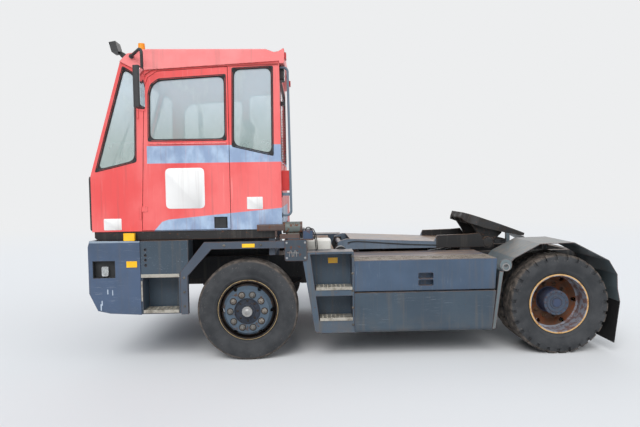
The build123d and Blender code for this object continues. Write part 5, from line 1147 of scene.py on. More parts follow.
@dataclass
class Tyres:
    """Tubeless tyres: ribbed ones in front, twins with notched shoulders at the rear."""

    bead: float = 0.288
    bead_half: float = 0.1
    half: float = 0.1375
    front_y: float = 1.08
    outer_y: float = 1.1125
    inner_y: float = 0.8025
    plain_steps: int = 144
    notches: int = 27
    notch_steps: int = 8
    notch_in: float = 0.016
    shoulder_foot: float = 0.44
    shoulder_from: float = 0.445
    shoulder_reach: float = 0.02
    shoulder_half: float = 0.082
    groove_depth: float = 0.011
    groove_half: float = 0.0055
    grooves: tuple[float, ...] = (-0.058, -0.02, 0.02, 0.058)

    def half_section(self) -> list[Row]:
        """Radius and distance from the middle, from the bead to the edge of the tread.

        Returns:
            The rows, the bead's first.
        """
        knots = [(self.bead, self.bead_half - 0.004), (0.301, self.bead_half),
                 (0.314, self.bead_half + 0.013),
                 (0.348, self.half - 0.0135), (0.403, self.half - 0.001), (0.462, self.half - 0.0095),
                 (0.4915, 0.1155), (0.4995, 0.0935)]
        # a smooth curve through the knots, with three fine ribs raised from it: radius and height
        ridges = ((0.335, 0.0022), (0.372, 0.0012), (0.436, 0.0012))
        rows = []
        for i in range(1, len(knots) - 2):
            a, b, c, d = (Vector(knots[k]) for k in (i - 1, i, i + 1, i + 2))
            for k in range(5):
                t = k / 5
                curve = (2 * b + (c - a) * t + (2 * a - 5 * b + 4 * c - d) * t * t
                         + (3 * b - a - 3 * c + d) * t ** 3)
                r, y = curve / 2
                rows.append((r, y + max((h for at, h in ridges if abs(r - at) < 0.0035), default=0.0)))
        return [knots[0], *rows, *knots[-2:]]

    def section(self) -> list[Row]:
        """The whole profile, across the grooved tread and down the other side.

        Returns:
            The rows, from one bead to the other.
        """
        near = self.half_section()
        deep = TYRE_RADIUS - self.groove_depth
        top, foot = self.groove_half + 0.001, self.groove_half - 0.001
        tread = [row for middle in self.grooves for row in (
            (TYRE_RADIUS, middle - top), (deep, middle - foot), (deep, middle + foot),
            (TYRE_RADIUS, middle + top))]
        return [(r, -y) for r, y in near] + tread + [(r, y) for r, y in reversed(near)]

    def tyre(self, shape: Shape, x: float, y: float, notched: bool) -> None:
        """Turn one tyre and press the notches into its shoulders.

        Args:
            shape: The mesh that takes the tyre.
            x: The tyre's middle along the tractor.
            y: Its middle across the tractor.
            notched: Whether its shoulders have notches.
        """
        steps = self.notches * self.notch_steps if notched else self.plain_steps
        rows = self.section()
        rings = lathe(shape, rows, (x, y, AXLE_Z), steps, closed=True)
        for (r, offset), ring in zip(rows, rings):
            if not notched or r < self.shoulder_from or abs(offset) < self.shoulder_half:
                continue
            depth = min(1.0, (r - self.shoulder_foot) / self.shoulder_reach) * self.notch_in
            for k, vert in enumerate(ring):
                if k % self.notch_steps in (0, 1, 2):
                    out = Vector((vert.co.x - x, 0.0, vert.co.z - AXLE_Z)).normalized()
                    vert.co -= out * depth * 0.5
                    vert.co.y -= math.copysign(depth, offset)
                elif k % self.notch_steps in (3, 7):
                    # the vertices beside a notch move close to it, so that its walls are steep
                    a = math.tau * (k + (-0.75 if k % self.notch_steps == 3 else 0.75)) / steps
                    vert.co.x, vert.co.z = x + r * math.cos(a), AXLE_Z + r * math.sin(a)

    def build(self) -> None:
        """Make one skin for each wheel body."""
        front = TyreRubber("front_tyre_rubber", FRONT_X).build()
        rear = TyreRubber("rear_tyre_rubber", REAR_X).build()
        kinds = (("front_tyre", "wheel_front", "tyre_front", front, FRONT_X, (self.front_y,)),
                 ("rear_tyres", "wheels_rear", "tyres_rear", rear, REAR_X, (self.inner_y, self.outer_y)))
        for side, sign in SIDES:
            for piece, body, node, rubber, x, tracks in kinds:
                shape = bmesh.new()
                for y in tracks:
                    self.tyre(shape, x, sign * y, notched=len(tracks) > 1)
                add_piece(f"{piece}_{side}", shape, rubber, f"{body}_{side}", (f"{node}_{side}",))


@dataclass
class WheelFittings:
    """Nuts, studs, seats, caps and valves on the wheels."""

    ring: Repeater
    stud_circle: float = 0.1675
    studs: int = 10
    front_face: float = 1.25
    dish_face: float = 0.9715
    hub_face: float = 1.1555

    def nut(self, sign: float) -> Shape:
        """A flanged wheel nut on its stud.

        Args:
            sign: -1 to face left, 1 to face right.

        Returns:
            The nut at the origin.
        """
        unit = bolt_head(0.019, 0.021, sign, 1.35)
        lathe(unit, [(0.0, 0.034), (0.008, 0.034), (0.0105, 0.031), (0.0105, 0.015)], ORIGIN, 12, sign=sign)
        return unit

    def seat(self, sign: float) -> Shape:
        """The round, greasy seat that a front wheel nut sits in.

        Args:
            sign: -1 to face left, 1 to face right.

        Returns:
            The seat at the origin.
        """
        unit = bmesh.new()
        collar = [(0.0235, 0.0), (0.0345, 0.0), (0.0345, 0.002), (0.0325, 0.0045), (0.027, 0.0045),
                  (0.0235, 0.0035)]
        lathe(unit, collar, ORIGIN, 20, closed=True, sign=sign)
        return unit

    def front(self, side: str, sign: float, iron: Material, bright: Material, alloy: Material) -> None:
        """Ten studs round the hub, and the cap with its bolts.

        Args:
            side: "left" or "right".
            sign: -1 for the left side, 1 for the right.
            iron: Finish of the seats and of the cap's bolts.
            bright: Finish of the nuts.
            alloy: Finish of the cap.
        """
        at = (FRONT_X, sign * self.front_face, AXLE_Z)
        body = f"wheel_front_{side}"
        shape = bmesh.new()
        self.ring.spread(shape, self.seat(sign), iron, count=self.studs, radius=self.stud_circle, centre=at)
        self.ring.spread(shape, bolt_head(0.0075, 0.006, sign), iron, count=8, radius=0.098,
                         centre=(at[0], at[1] - sign * 0.02, at[2]))
        add_piece(f"front_stud_seats_{side}", shape, iron, body)
        shape = bmesh.new()
        self.ring.spread(shape, self.nut(sign), bright, count=self.studs, radius=self.stud_circle, centre=at)
        add_piece(f"front_wheel_nuts_{side}", shape, bright, body)
        shape = bmesh.new()
        lip = [(0.0, 0.0325), (0.02, 0.0325), (0.023, 0.0308), (0.040, 0.0308), (0.0445, 0.0318),
               (0.0525, 0.029), (0.054, 0.014), (0.054, -0.018), (0.062, -0.019)]
        lathe(shape, lip, at, 40, sign=sign)
        add_piece(f"front_hub_cap_{side}", shape, alloy, body)

    def rear(self, side: str, sign: float, iron: Material, enamel: Material) -> None:
        """Ten nuts and a valve deep in the dish, and the stepped cover of the hub reduction.

        Args:
            side: "left" or "right".
            sign: -1 for the left side, 1 for the right.
            iron: Finish of the nuts and the valve.
            enamel: Finish of the cover.
        """
        body = f"wheels_rear_{side}"
        shape = bmesh.new()
        self.ring.spread(shape, self.nut(sign), iron, count=self.studs, radius=self.stud_circle,
                         centre=(REAR_X, sign * self.dish_face, AXLE_Z))
        lathe(shape, [(0.0, 0.0), (0.004, 0.0), (0.004, 0.05), (0.0, 0.05)],
              (REAR_X + 0.16, sign * (self.dish_face + 0.002), AXLE_Z + 0.19), 10, sign=sign)
        add_piece(f"rear_wheel_nuts_{side}", shape, iron, body)
        shape = bmesh.new()
        cover = [(0.0, 0.012), (0.018, 0.012), (0.022, 0.007), (0.05, 0.007), (0.053, 0.011), (0.062, 0.011),
                 (0.065, 0.005), (0.088, 0.005), (0.09, 0.009), (0.097, 0.009), (0.1, 0.003), (0.1245, 0.003),
                 (0.1265, 0.0)]
        lathe(shape, cover, (REAR_X, sign * self.hub_face, AXLE_Z), 60, sign=sign)
        self.ring.spread(shape, bolt_head(0.0085, 0.007, sign), enamel, count=12, radius=0.1125,
                         centre=(REAR_X, sign * self.hub_face + sign * 0.003, AXLE_Z))
        add_piece(f"rear_hub_cover_{side}", shape, enamel, body)

    def build(self) -> None:
        """Fit both sides."""
        front = (GreasedIron("stud_seat_iron", "#16120F", "#2A1E16", "#3A2A20", "#4A3020", 0.3).build(),
                 GreasedIron("wheel_nut_caps", "#6C6A66", "#4A3A2E", "#A8A49C", "#7A4C30", 0.25).build(),
                 BrightMetal("cast_alloy_cap", "#A9A9A8", 0.38, "#6A625A").build())
        rear = (GreasedIron("dish_nut_steel", "#3B2A20", "#4A2E1E", "#8A6A4A", "#7A4626", 0.15).build(),
                Enamel("hub_cover_enamel", "#323F50", "#4B586A", rust_share=0.35, edge_share=0.7,
                       scuff="#9AA6B8", edge_width=0.003).build())
        for side, sign in SIDES:
            self.front(side, sign, *front)
            self.rear(side, sign, *rear)


@dataclass
class Glazing:
    """Rubber profiles that hold the cab's panes."""

    nodes: dict
    middle: Point = (-1.65, -0.4, 2.35)
    least_area: float = 0.05
    lap: float = 0.012
    recess: float = 0.014
    inner_corner: float = 0.065
    outer_corner: float = 0.02
    proud: float = 0.0045
    door_proud: float = 0.0008

    def faces(self, name: str) -> list[tuple[Vector, list[Vector]]]:
        """Find the outer face of each pane, as its normal and its corners.

        Args:
            name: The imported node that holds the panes.

        Returns:
            A normal and a loop of corners for each pane.
        """
        shape = flat_copy(self.nodes[name])
        found = []
        for face in shape.faces:
            outwards = face.calc_center_median() - Vector(self.middle)
            if face.calc_area() > self.least_area and face.normal.dot(outwards) > 0:
                found.append((face.normal.copy(), [v.co.copy() for v in face.verts]))
        shape.free()
        return found

    def offset(self, corners: list[Vector], normal: Vector, reach: float) -> list[Vector]:
        """Move an outline outwards in its own plane.

        Args:
            corners: The outline's corners.
            normal: The normal of its plane.
            reach: How far it moves, in metres, negative for inwards.

        Returns:
            The moved corners.
        """
        moved = []
        for i, here in enumerate(corners):
            back = (here - corners[i - 1]).normalized().cross(normal)
            ahead = (corners[(i + 1) % len(corners)] - here).normalized().cross(normal)
            mitre = (back + ahead).normalized()
            moved.append(here + mitre * reach / max(0.4, mitre.dot(back)))
        return moved

    def profile(self, shape: Shape, normal: Vector, corners: list[Vector], proud: float) -> None:
        """Lay one profile round a pane, its inner corners rounder than its outer ones.

        Args:
            shape: The mesh that takes the profile.
            normal: The pane's normal.
            corners: The pane's corners.
            proud: How far the profile stands out from the sheet metal.
        """
        inner = rounded(self.offset(corners, normal, -self.lap), self.inner_corner, 6)
        outer = rounded(self.offset(corners, normal, self.lap), self.outer_corner, 6)
        # share of the way from the inner to the outer edge, and height over the pane
        rows = ((0.0, 0.0005), (0.0, 0.003), (0.1, 0.0055), (0.4, 0.008), (0.55, self.recess - 0.001),
                (0.66, self.recess + proud * 0.9), (0.86, self.recess + proud), (1.0, self.recess + 0.0003))
        band(shape, [[Vector(a).lerp(Vector(b), share) + normal * height for a, b in zip(inner, outer)]
                     for share, height in rows])

    def build(self) -> None:
        """Lay the profiles on the cab and on its door."""
        rubber = Moulding("glazing_rubber", "#141415", "#2B2B2C", 0.7, 260.0).build()
        for name, body, proud in (("cab_glass", "cab", self.proud), ("door_glass", "door", self.door_proud)):
            shape = bmesh.new()
            for normal, corners in self.faces(name):
                self.profile(shape, normal, corners, proud)
            add_piece(f"{body}_glazing_rubber", shape, rubber, body)


@dataclass
class CabTrim:
    """Plates, rails, seams and wiper on the cab's outside."""

    left: float = -1.2
    screen_foot: float = -2.585
    foot_z: float = 1.845
    rake: float = 0.2909

    def plates(self) -> None:
        """Three bare white plates on the cab's left side."""
        white = Enamel("white_vinyl_film", "#F1F0EE", "#DEDAD6", soil="#A79C96", rust="#C9B8AE",
                       scuff="#FFFFFF", fade_share=0.35, streak_share=0.22, rust_share=0.0, edge_share=0.05,
                       scratch_share=0.2, roughness=0.35, edge_width=0.001).build()
        for name, body, corner, outline in (
            ("door_plate", "door", 0.05, (-1.860, -1.481, 1.516, 1.912)),
            ("side_plate", "cab", 0.008, (-1.070, -0.916, 1.499, 1.619)),
            ("nose_plate", "cab", 0.008, (-2.469, -2.298, 1.316, 1.428)),
        ):
            shape = bmesh.new()
            prism(shape, rounded(box_outline(*outline), corner, 6), self.left - 0.0013, self.left,
                  edge=0.0004)
            add_piece(name, shape, white, body, smooth_deg=50)

    def rails(self) -> None:
        """Drip rail over the door, and the ledge under its window."""
        dark = Enamel("rail_enamel", "#B23F3E", "#D8605E", rust_share=0.25, edge_share=0.6,
                      soil="#5C3A36").build()
        shape = bmesh.new()
        line = [(-2.06, 2.66), (-2.048, 2.765), (-2.022, 2.832), (-1.957, 2.872), (-1.502, 2.898),
                (-0.74, 2.912)]
        low = [(x, z - 0.011) for x, z in line]
        prism(shape, [*line, *reversed(low)], self.left - 0.011, self.left + 0.001, edge=0.002)
        add_piece("drip_rail", shape, dark, "cab")
        shape = bmesh.new()
        prism(shape, box_outline(-2.012, -1.256, 2.142, 2.158), self.left - 0.012, self.left + 0.0005,
              edge=0.004)
        add_piece("window_ledge", shape, Enamel("ledge_enamel", "#E86E6C", "#F49A97", rust_share=0.1).build(),
                  "door")

    def seal(self) -> None:
        """Black rubber lip on the door's frame, seen in the gap round the door."""
        shape = bmesh.new()
        low_x, top_x, rear_x = -2.0985, -2.0435, -1.2315
        line = [(low_x, 1.3045), (top_x, 2.69), (top_x + 0.0405, 2.7925), (top_x + 0.131, 2.8515),
                (rear_x, 2.8885), (rear_x, 1.3045)]
        inner = [(x + dx, z + dz) for (x, z), (dx, dz) in zip(line, (
            (0.003, 0.003), (0.003, 0.0), (0.0022, -0.0022), (0.0, -0.003), (-0.003, -0.003),
            (-0.003, 0.003)))]
        band(shape, [[(x, self.left + depth, z) for x, z in ring]
                     for ring, depth in ((line, 0.02), (inner, 0.018), (inner, 0.03), (line, 0.03))])
        add_piece("door_seal", shape, Moulding("seal_rubber", "#101011", "#1E1E1F", 0.8, 200.0).build(),
                  "cab")

    def on_screen(self, y: float, z: float, out: float) -> Point:
        """A point that stands off the windscreen's raked face."""
        return (self.screen_foot + (z - self.foot_z) * self.rake - 0.004 - out, y, z)

    def wiper(self) -> None:
        """One wiper on the windscreen: spindle cap, arm and rubber blade."""
        shape = bmesh.new()
        lathe(shape, [(0.0, -0.022), (0.016, -0.022), (0.02, -0.016), (0.02, 0.0)],
              self.on_screen(-0.62, 1.885, 0.002), 16, Axis.X)
        arm = ((-0.62, 1.885, 0.012), (-0.58, 1.99, 0.022), (-0.5, 2.2, 0.02), (-0.42, 2.42, 0.012))
        rod(shape, [self.on_screen(*knot) for knot in arm], 0.0055)
        blade = ((-0.5, 2.05, 0.008), (-0.42, 2.42, 0.008), (-0.34, 2.79, 0.008))
        rod(shape, [self.on_screen(*knot) for knot in blade], 0.0045)
        add_piece("windscreen_wiper", shape, Moulding("wiper_enamel", "#151617", "#262728", 0.5).build(),
                  "cab")

    def build(self) -> None:
        """Fit all of it."""
        self.plates()
        self.rails()
        self.seal()
        self.wiper()


@dataclass
class Seat:
    """Driver's seat pads, swollen by a cloth simulation and sewn in channels."""

    nodes: dict
    voxel: float = 0.009
    shrink: float = 0.010
    pressure: float = 4.0
    frames: int = 20
    round_edge: float = 0.022
    cap: float = 0.022
    seam_depth: float = 0.007
    seam_half: float = 0.009

    def shell(self, name: str) -> bpy.types.Object:
        """Copy a pad's solid, draw it in and remesh it evenly.

        Args:
            name: The pad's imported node.

        Returns:
            The pad, ready for the simulation.
        """
        shape = flat_copy(self.nodes[name])
        bmesh.ops.bevel(shape, geom=list(shape.edges), offset=self.round_edge, segments=3, profile=0.5,
                        affect="EDGES", clamp_overlap=True)
        bmesh.ops.recalc_face_normals(shape, faces=shape.faces)
        mesh = bpy.data.meshes.new(f"{name}_pad")
        shape.to_mesh(mesh)
        shape.free()
        low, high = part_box(name)
        middle = (Vector(low) + Vector(high)) / 2
        for vert in mesh.vertices:
            for k in range(3):
                span = high[k] - low[k]
                vert.co[k] = middle[k] + (vert.co[k] - middle[k]) * (1 - 2 * self.shrink / span)
        pad = put(f"{name}_pad", mesh)
        remesh = pad.modifiers.new("even", "REMESH")
        remesh.mode = "VOXEL"
        remesh.voxel_size = self.voxel
        even = settled(pad)
        pad.modifiers.remove(remesh)
        pad.data = even
        return pad

    def swell(self, pad: bpy.types.Object) -> None:
        """Blow the cover up against its own stiffness and keep the result, capped.

        Args:
            pad: The pad that is blown up.
        """
        cloth = pad.modifiers.new("swell", "CLOTH")
        cloth.settings.use_pressure = True
        cloth.settings.uniform_pressure_force = self.pressure
        cloth.settings.effector_weights.gravity = 0.0
        for frame in range(1, self.frames + 1):
            bpy.context.scene.frame_set(frame)
        blown = pad.evaluated_get(bpy.context.evaluated_depsgraph_get()).data
        moved = [point.co.copy() for point in blown.vertices]
        pad.modifiers.remove(cloth)
        bpy.context.scene.frame_set(1)
        for vert, goal in zip(pad.data.vertices, moved):
            step = goal - vert.co
            vert.co += step if step.length <= self.cap else step.normalized() * self.cap

    def sew(self, pad: bpy.types.Object, seams: Sequence[tuple[int, float]], floor: float | None) -> None:
        """Draw the cover in along seams, and press it flat where it rests.

        Args:
            pad: The pad that is sewn.
            seams: Coordinate number and place of each seam.
            floor: Height that the pad rests on, if it does.
        """
        low, high = (Vector(corner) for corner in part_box(pad.name.removesuffix("_pad")))
        middle = (low + high) / 2
        for vert in pad.data.vertices:
            pull = sum(math.exp(-((vert.co[k] - at) / self.seam_half) ** 2) for k, at in seams)
            vert.co += (middle - vert.co).normalized() * min(1.0, pull) * self.seam_depth
            if floor is not None:
                vert.co.z = max(vert.co.z, floor)

    def build(self) -> None:
        """Make the cushion and the back rest."""
        cloth = WovenCloth("seat_cloth").build()
        jobs = (("seat_cushion", ((0, -1.53), (0, -1.41), (0, -1.29), (1, -0.56), (1, -0.24)), 1.6765),
                ("seat_back", ((2, 1.93), (2, 2.09), (2, 2.25), (1, -0.54), (1, -0.26)), None))
        for name, seams, floor in jobs:
            pad = self.shell(name)
            self.swell(pad)
            self.sew(pad, seams, floor)
            soft = pad.modifiers.new("soft", "SUBSURF")
            soft.levels = 1
            soft.render_levels = 1
            pad.data.materials.clear()
            pad.data.materials.append(cloth)
            pad.data.shade_smooth()
            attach(pad, "cab")
            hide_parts(name)
            LOG.info("%s sewn", pad.name)


@dataclass
class SteelFittings:
    """Bolts, strips, tread holes, hooks, lamps' rims and small parts on the sheet-metal work."""

    grid: Repeater
    panel: float = 1.24
    tank_face: float = 0.4252

    def bolts(self) -> None:
        """Hexagon heads along the guards, the steps, the covers and the frame rails."""
        steel = GreasedIron("zinc_plated_bolts", "#4A4742", "#3A302A", "#9A948A", "#7A4C2C", 0.1).build()
        shape = bmesh.new()
        for _, sign in SIDES:
            panel, tank = sign * (self.panel + 0.0003), sign * self.tank_face
            # start x, start z, step x, step z, count, distance from the middle
            for x, z, dx, dz, count, y in (
                (-1.30, 1.148, 0.36, 0.0, 3, panel),
                (-1.696, 0.56, 0.0, 0.14, 3, panel),
                (-0.047, 1.02, 0.0, -0.17, 5, panel),
                (0.32, 0.91, 0.17, 0.0, 12, tank),
                (0.32, 0.74, 0.17, 0.0, 12, tank),
            ):
                self.grid.spread(shape, bolt_head(0.0085, 0.0065, sign), steel, columns=count,
                                 column_step=(dx, 0.0, dz), start=(x, y, z))
        add_piece("panel_bolts", shape, steel, "chassis")

    def strips(self) -> None:
        """Anti-slip strips on the tank covers, each with two rows of studs."""
        tread = MillAluminium("worn_tread_strip", "#8B8176", "#5F564C").build()
        shape = bmesh.new()
        for _, sign in SIDES:
            for i in range(4):
                y = sign * (1.170 - 0.08 * i)
                prism(shape, box_outline(-0.028, 1.390, y - 0.02, y + 0.02), 0.9703, 0.9745, Axis.Z, 0.001)
                unit = bmesh.new()
                lathe(unit, [(0.0, 0.0018), (0.0032, 0.0018), (0.0042, 0.0)], ORIGIN, 8, Axis.Z)
                self.grid.spread(shape, unit, tread, columns=56, column_step=(0.0252, 0.0, 0.0), rows=2,
                                 row_step=(0.0, 0.02, 0.0), start=(-0.012, y - 0.01, 0.9744))
        add_piece("cover_tread_strips", shape, tread, "chassis")

    def treads(self) -> None:
        """Round holes with raised rims on the step treads, and teeth along their edges."""
        metal = MillAluminium("tread_hole_rims", "#A8A294", "#575149").build()
        margin, hole_step, tooth_step = 0.03, 0.042, 0.0145
        shape = bmesh.new()
        # x0, x1, top of the tread
        for x0, x1, top in ((-2.094, -1.752, 0.5283), (-0.405, -0.051, 0.7183), (-0.373, -0.051, 0.4133)):
            for _, sign in SIDES:
                rim = bmesh.new()
                lathe(rim, [(0.0075, 0.0003), (0.0085, 0.003), (0.0105, 0.003), (0.0135, 0.0002)], ORIGIN,
                      14, Axis.Z, closed=True)
                self.grid.spread(shape, rim, metal, columns=int((x1 - x0 - margin) / hole_step), rows=4,
                                 column_step=(hole_step, 0.0, 0.0), row_step=(0.0, -sign * 0.044, 0.0),
                                 start=(x0 + margin, sign * 1.218, top))
                tooth = bmesh.new()
                prism(tooth, [(-0.0055, 0.0), (0.0055, 0.0), (0.0, 0.007)], sign * 1.242, sign * 1.2478,
                      edge=0.0006)
                self.grid.spread(shape, tooth, metal, columns=int((x1 - x0) / tooth_step),
                                 column_step=(tooth_step, 0.0, 0.0), start=(x0 + 0.006, 0.0, top - 0.0005))
        add_piece("tread_teeth_and_rims", shape, metal, "chassis")

    def lamps(self) -> None:
        """Round reflectors behind the front lenses, rims round the side lenses, and the work lamps' glass."""
        shape = bmesh.new()
        for _, sign in SIDES:
            for y in (0.965, 1.105):
                lathe(shape, [(0.062, 0.0), (0.066, -0.0045), (0.058, -0.0055), (0.050, -0.0008),
                              (0.012, 0.0), (0.0, -0.001)], (-2.6073, sign * y, 0.9365), 40, Axis.X)
            rim = rounded(box_outline(-2.497, -2.435, 0.868, 0.962), 0.014, 5)
            hole = rounded(box_outline(-2.491, -2.441, 0.874, 0.956), 0.010, 5)
            band(shape, [[(x, sign * y, z) for x, z in ring]
                         for ring, y in ((rim, 1.2203), (rim, 1.2235), (hole, 1.2235), (hole, 1.2203))])
        add_piece("lamp_rims", shape, BrightMetal("lamp_reflector", "#D9DADC", 0.12).build(), "chassis")
        shape = bmesh.new()
        prism(shape, rounded(box_outline(-1.112, -0.978, 2.778, 2.882), 0.014), -0.6879, -0.6845, Axis.X,
              0.0012)
        prism(shape, [(-2.3925, 3.148), (-2.3965, 3.147), (-2.3695, 3.061), (-2.3655, 3.062)], -1.115, -0.985,
              edge=0.001)
        add_piece("work_lamp_lenses", shape, LampLens("work_lamp_glass", "#D4DADB", 0.35).build(), "cab")

    def hooks(self) -> None:
        """Bent hooks, bolt heads and pipes on the latch, and the wings' lashing links."""
        steel = Enamel("hook_steel", "#8A8B8E", "#9B9894", rust_share=0.35, edge_share=0.5,
                       edge_width=0.002).build()
        shape = bmesh.new()
        for x in (-0.650, -0.606):
            rod(shape, [(x + dx, -1.2524, z) for dx, z in (
                (-0.014, 1.028), (-0.013, 1.070), (0.0, 1.092), (0.013, 1.070), (0.014, 1.028))], 0.0032)
        rod(shape, [(-0.684, -1.2545, 1.068), (-0.572, -1.2545, 1.064)], 0.0032)
        for x in (-0.688, -0.509):
            for z in (1.165, 1.015):
                lathe(shape, [(0.0, -1.2535), (0.009, -1.2535), (0.011, -1.2525), (0.011, -1.2490)],
                      (x, 0.0, z), 14)
        # thin sheet that closes the view behind the latch's cylinder
        prism(shape, box_outline(-0.698, -0.432, 1.197, 1.296), -1.139, -1.136, edge=0.001)
        add_piece("latch_hooks", shape, steel, "chassis")
        shape = bmesh.new()
        for _, sign in SIDES:
            turns = [math.tau * k / 16 for k in range(16)]
            link = [(1.471 + 0.034 * math.cos(a), sign * (1.2535 - 0.004 * math.sin(a)),
                     0.884 + 0.034 * math.sin(a))
                    for a in turns]
            rod(shape, link, 0.0055, closed=True)
        add_piece("lashing_links", shape, steel, "chassis")
        shape = bmesh.new()
        for route in (
            ((-0.50, -1.19, 1.282), (-0.50, -1.19, 1.305), (-0.46, -1.185, 1.315), (-0.415, -1.17, 1.25),
             (-0.402, -1.15, 1.13), (-0.40, -1.12, 1.068)),
            ((-0.455, -1.16, 1.282), (-0.455, -1.16, 1.296), (-0.42, -1.11, 1.29), (-0.385, -1.03, 1.18),
             (-0.385, -0.99, 1.06)),
        ):
            rod(shape, route, 0.005)
        sheath = Moulding("black_cable_sheath", "#131415", "#2C2B2A", 0.6, 300.0).build()
        add_piece("latch_pipes", shape, sheath, "chassis")

    def deck_parts(self) -> None:
        """Ribbed cap on the round canister and the filler cap on the reservoir."""
        black = Moulding("canister_moulding", "#151617", "#26272A", 0.45).build()
        shape = bmesh.new()
        rows = [(0.0, -0.0035), (0.012, -0.0035), (0.015, -0.001), (0.024, -0.001), (0.027, -0.0035),
                (0.036, -0.0035), (0.039, -0.001), (0.048, -0.001), (0.051, -0.004), (0.062, -0.004),
                (0.0635, -0.001), (0.0635, 0.012), (0.062, 0.013)]
        lathe(shape, rows, (-0.143, -0.98, 1.03), 40)
        lathe(shape, [(0.0, 0.03), (0.024, 0.03), (0.029, 0.026), (0.031, 0.0)], (-0.43, -0.84, 1.1642), 24,
              Axis.Z)
        add_piece("canister_and_filler_caps", shape, black, "chassis")

    def boom_rod(self) -> None:
        """Grease pipe along the boom."""
        shape = bmesh.new()
        points = [(x, -0.43, z) for x, z in (
            (-0.03, 1.075), (0.02, 1.094), (0.20, 1.082), (0.60, 1.046), (0.98, 1.030))]
        rod(shape, points, 0.006)
        add_piece("boom_grease_pipe", shape, Moulding("black_nylon_pipe", "#151516", "#2A2A2B", 0.5).build(),
                  "boom")

    def build(self) -> None:
        """Fit all of it."""
        self.bolts()
        self.strips()
        self.treads()
        self.lamps()
        self.hooks()
        self.deck_parts()
        self.boom_rod()


@dataclass
class CabInside:
    """Instruments, switches and mirror glass."""

    grid: Repeater
    dash_x: float = -2.32

    def dash(self) -> None:
        """Round gauges and rocker switches on the top of the dashboard."""
        rim = Moulding("gauge_rim_moulding", "#0F1011", "#232426", 0.35).build()
        shape = bmesh.new()
        for y in (-0.62, -0.49, -0.31, -0.18):
            lathe(shape, [(0.0, 0.017), (0.044, 0.017), (0.046, 0.026), (0.052, 0.027), (0.055, 0.0)],
                  (self.dash_x, y, 1.862), 28, Axis.Z)
        unit = bmesh.new()
        prism(unit, rounded(box_outline(-0.011, 0.011, -0.02, 0.02), 0.003, 2), 0.0, 0.014, Axis.Z, 0.0015)
        self.grid.spread(shape, unit, rim, rows=9, row_step=(0.0, 0.034, 0.0),
                         start=(self.dash_x, -0.02, 1.866))
        add_piece("dash_instruments", shape, rim, "cab")

    def mirror_glass(self) -> None:
        """Silvered glass on the rear faces of the mirror heads."""
        shape = bmesh.new()
        for _, sign in SIDES:
            y0, y1 = sorted((sign * 1.468, sign * 1.622))
            prism(shape, rounded(box_outline(y0, y1, 2.466, 2.804), 0.018), -1.9619, -1.9595, Axis.X, 0.0008)
        add_piece("mirror_glass", shape, BrightMetal("silvered_glass", "#D5DADD", 0.03, "#B5B9BA").build(),
                  "cab")

    def build(self) -> None:
        """Fit them."""
        self.dash()
        self.mirror_glass()


@dataclass
class AirHose:
    """Curly polyamide air hose that hangs from its gland down to the connector box."""

    x: float = -0.706
    y: float = -1.075
    top: float = 2.520
    bottom: float = 1.875
    lead: float = 0.045
    pitch: float = 0.026
    narrow: float = 0.0095
    wide: float = 0.0176
    widest: float = 2.13
    slack_reach: float = 0.36
    diameter: float = 0.0075
    turn_points: int = 12
    length: float = 2.05

    def coil_radius(self, z: float) -> float:
        """The coil's radius at a height: slack at its foot, drawn narrow by its own weight above."""
        share = max(0.0, 1 - abs(z - self.widest) / self.slack_reach)
        return self.narrow + (self.wide - self.narrow) * share ** 0.7

    def route(self) -> list[Point]:
        """Straight out of the gland, round and down the coil, and straight into the box.

        Returns:
            The points, from the gland to the box.
        """
        high, low = self.top - self.lead, self.bottom + self.lead
        knots = round((high - low) / self.pitch) * self.turn_points
        points = [(self.x, self.y, self.top), (self.x, self.y, self.top - self.lead * 0.6)]
        for k in range(knots + 1):
            angle = math.tau * k / self.turn_points
            z = high - (high - low) * k / knots
            r = self.coil_radius(z)
            points.append((self.x + r * math.cos(angle), self.y + r * math.sin(angle), z))
        return [*points, (self.x, self.y, self.bottom + self.lead * 0.6), (self.x, self.y, self.bottom)]

    def build(self) -> None:
        points = self.route()
        line = bar_line("curly_air_hose", points, self.diameter / 2, 2, 2)
        line.materials.append(Moulding("red_polyamide_hose", "#B8433C", "#D0665C", 0.35).build())
        hose = put("curly_air_hose", line)
        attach(hose, "cab")
        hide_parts("air_hose")
        LOG.info("%s on cab", hose.name)


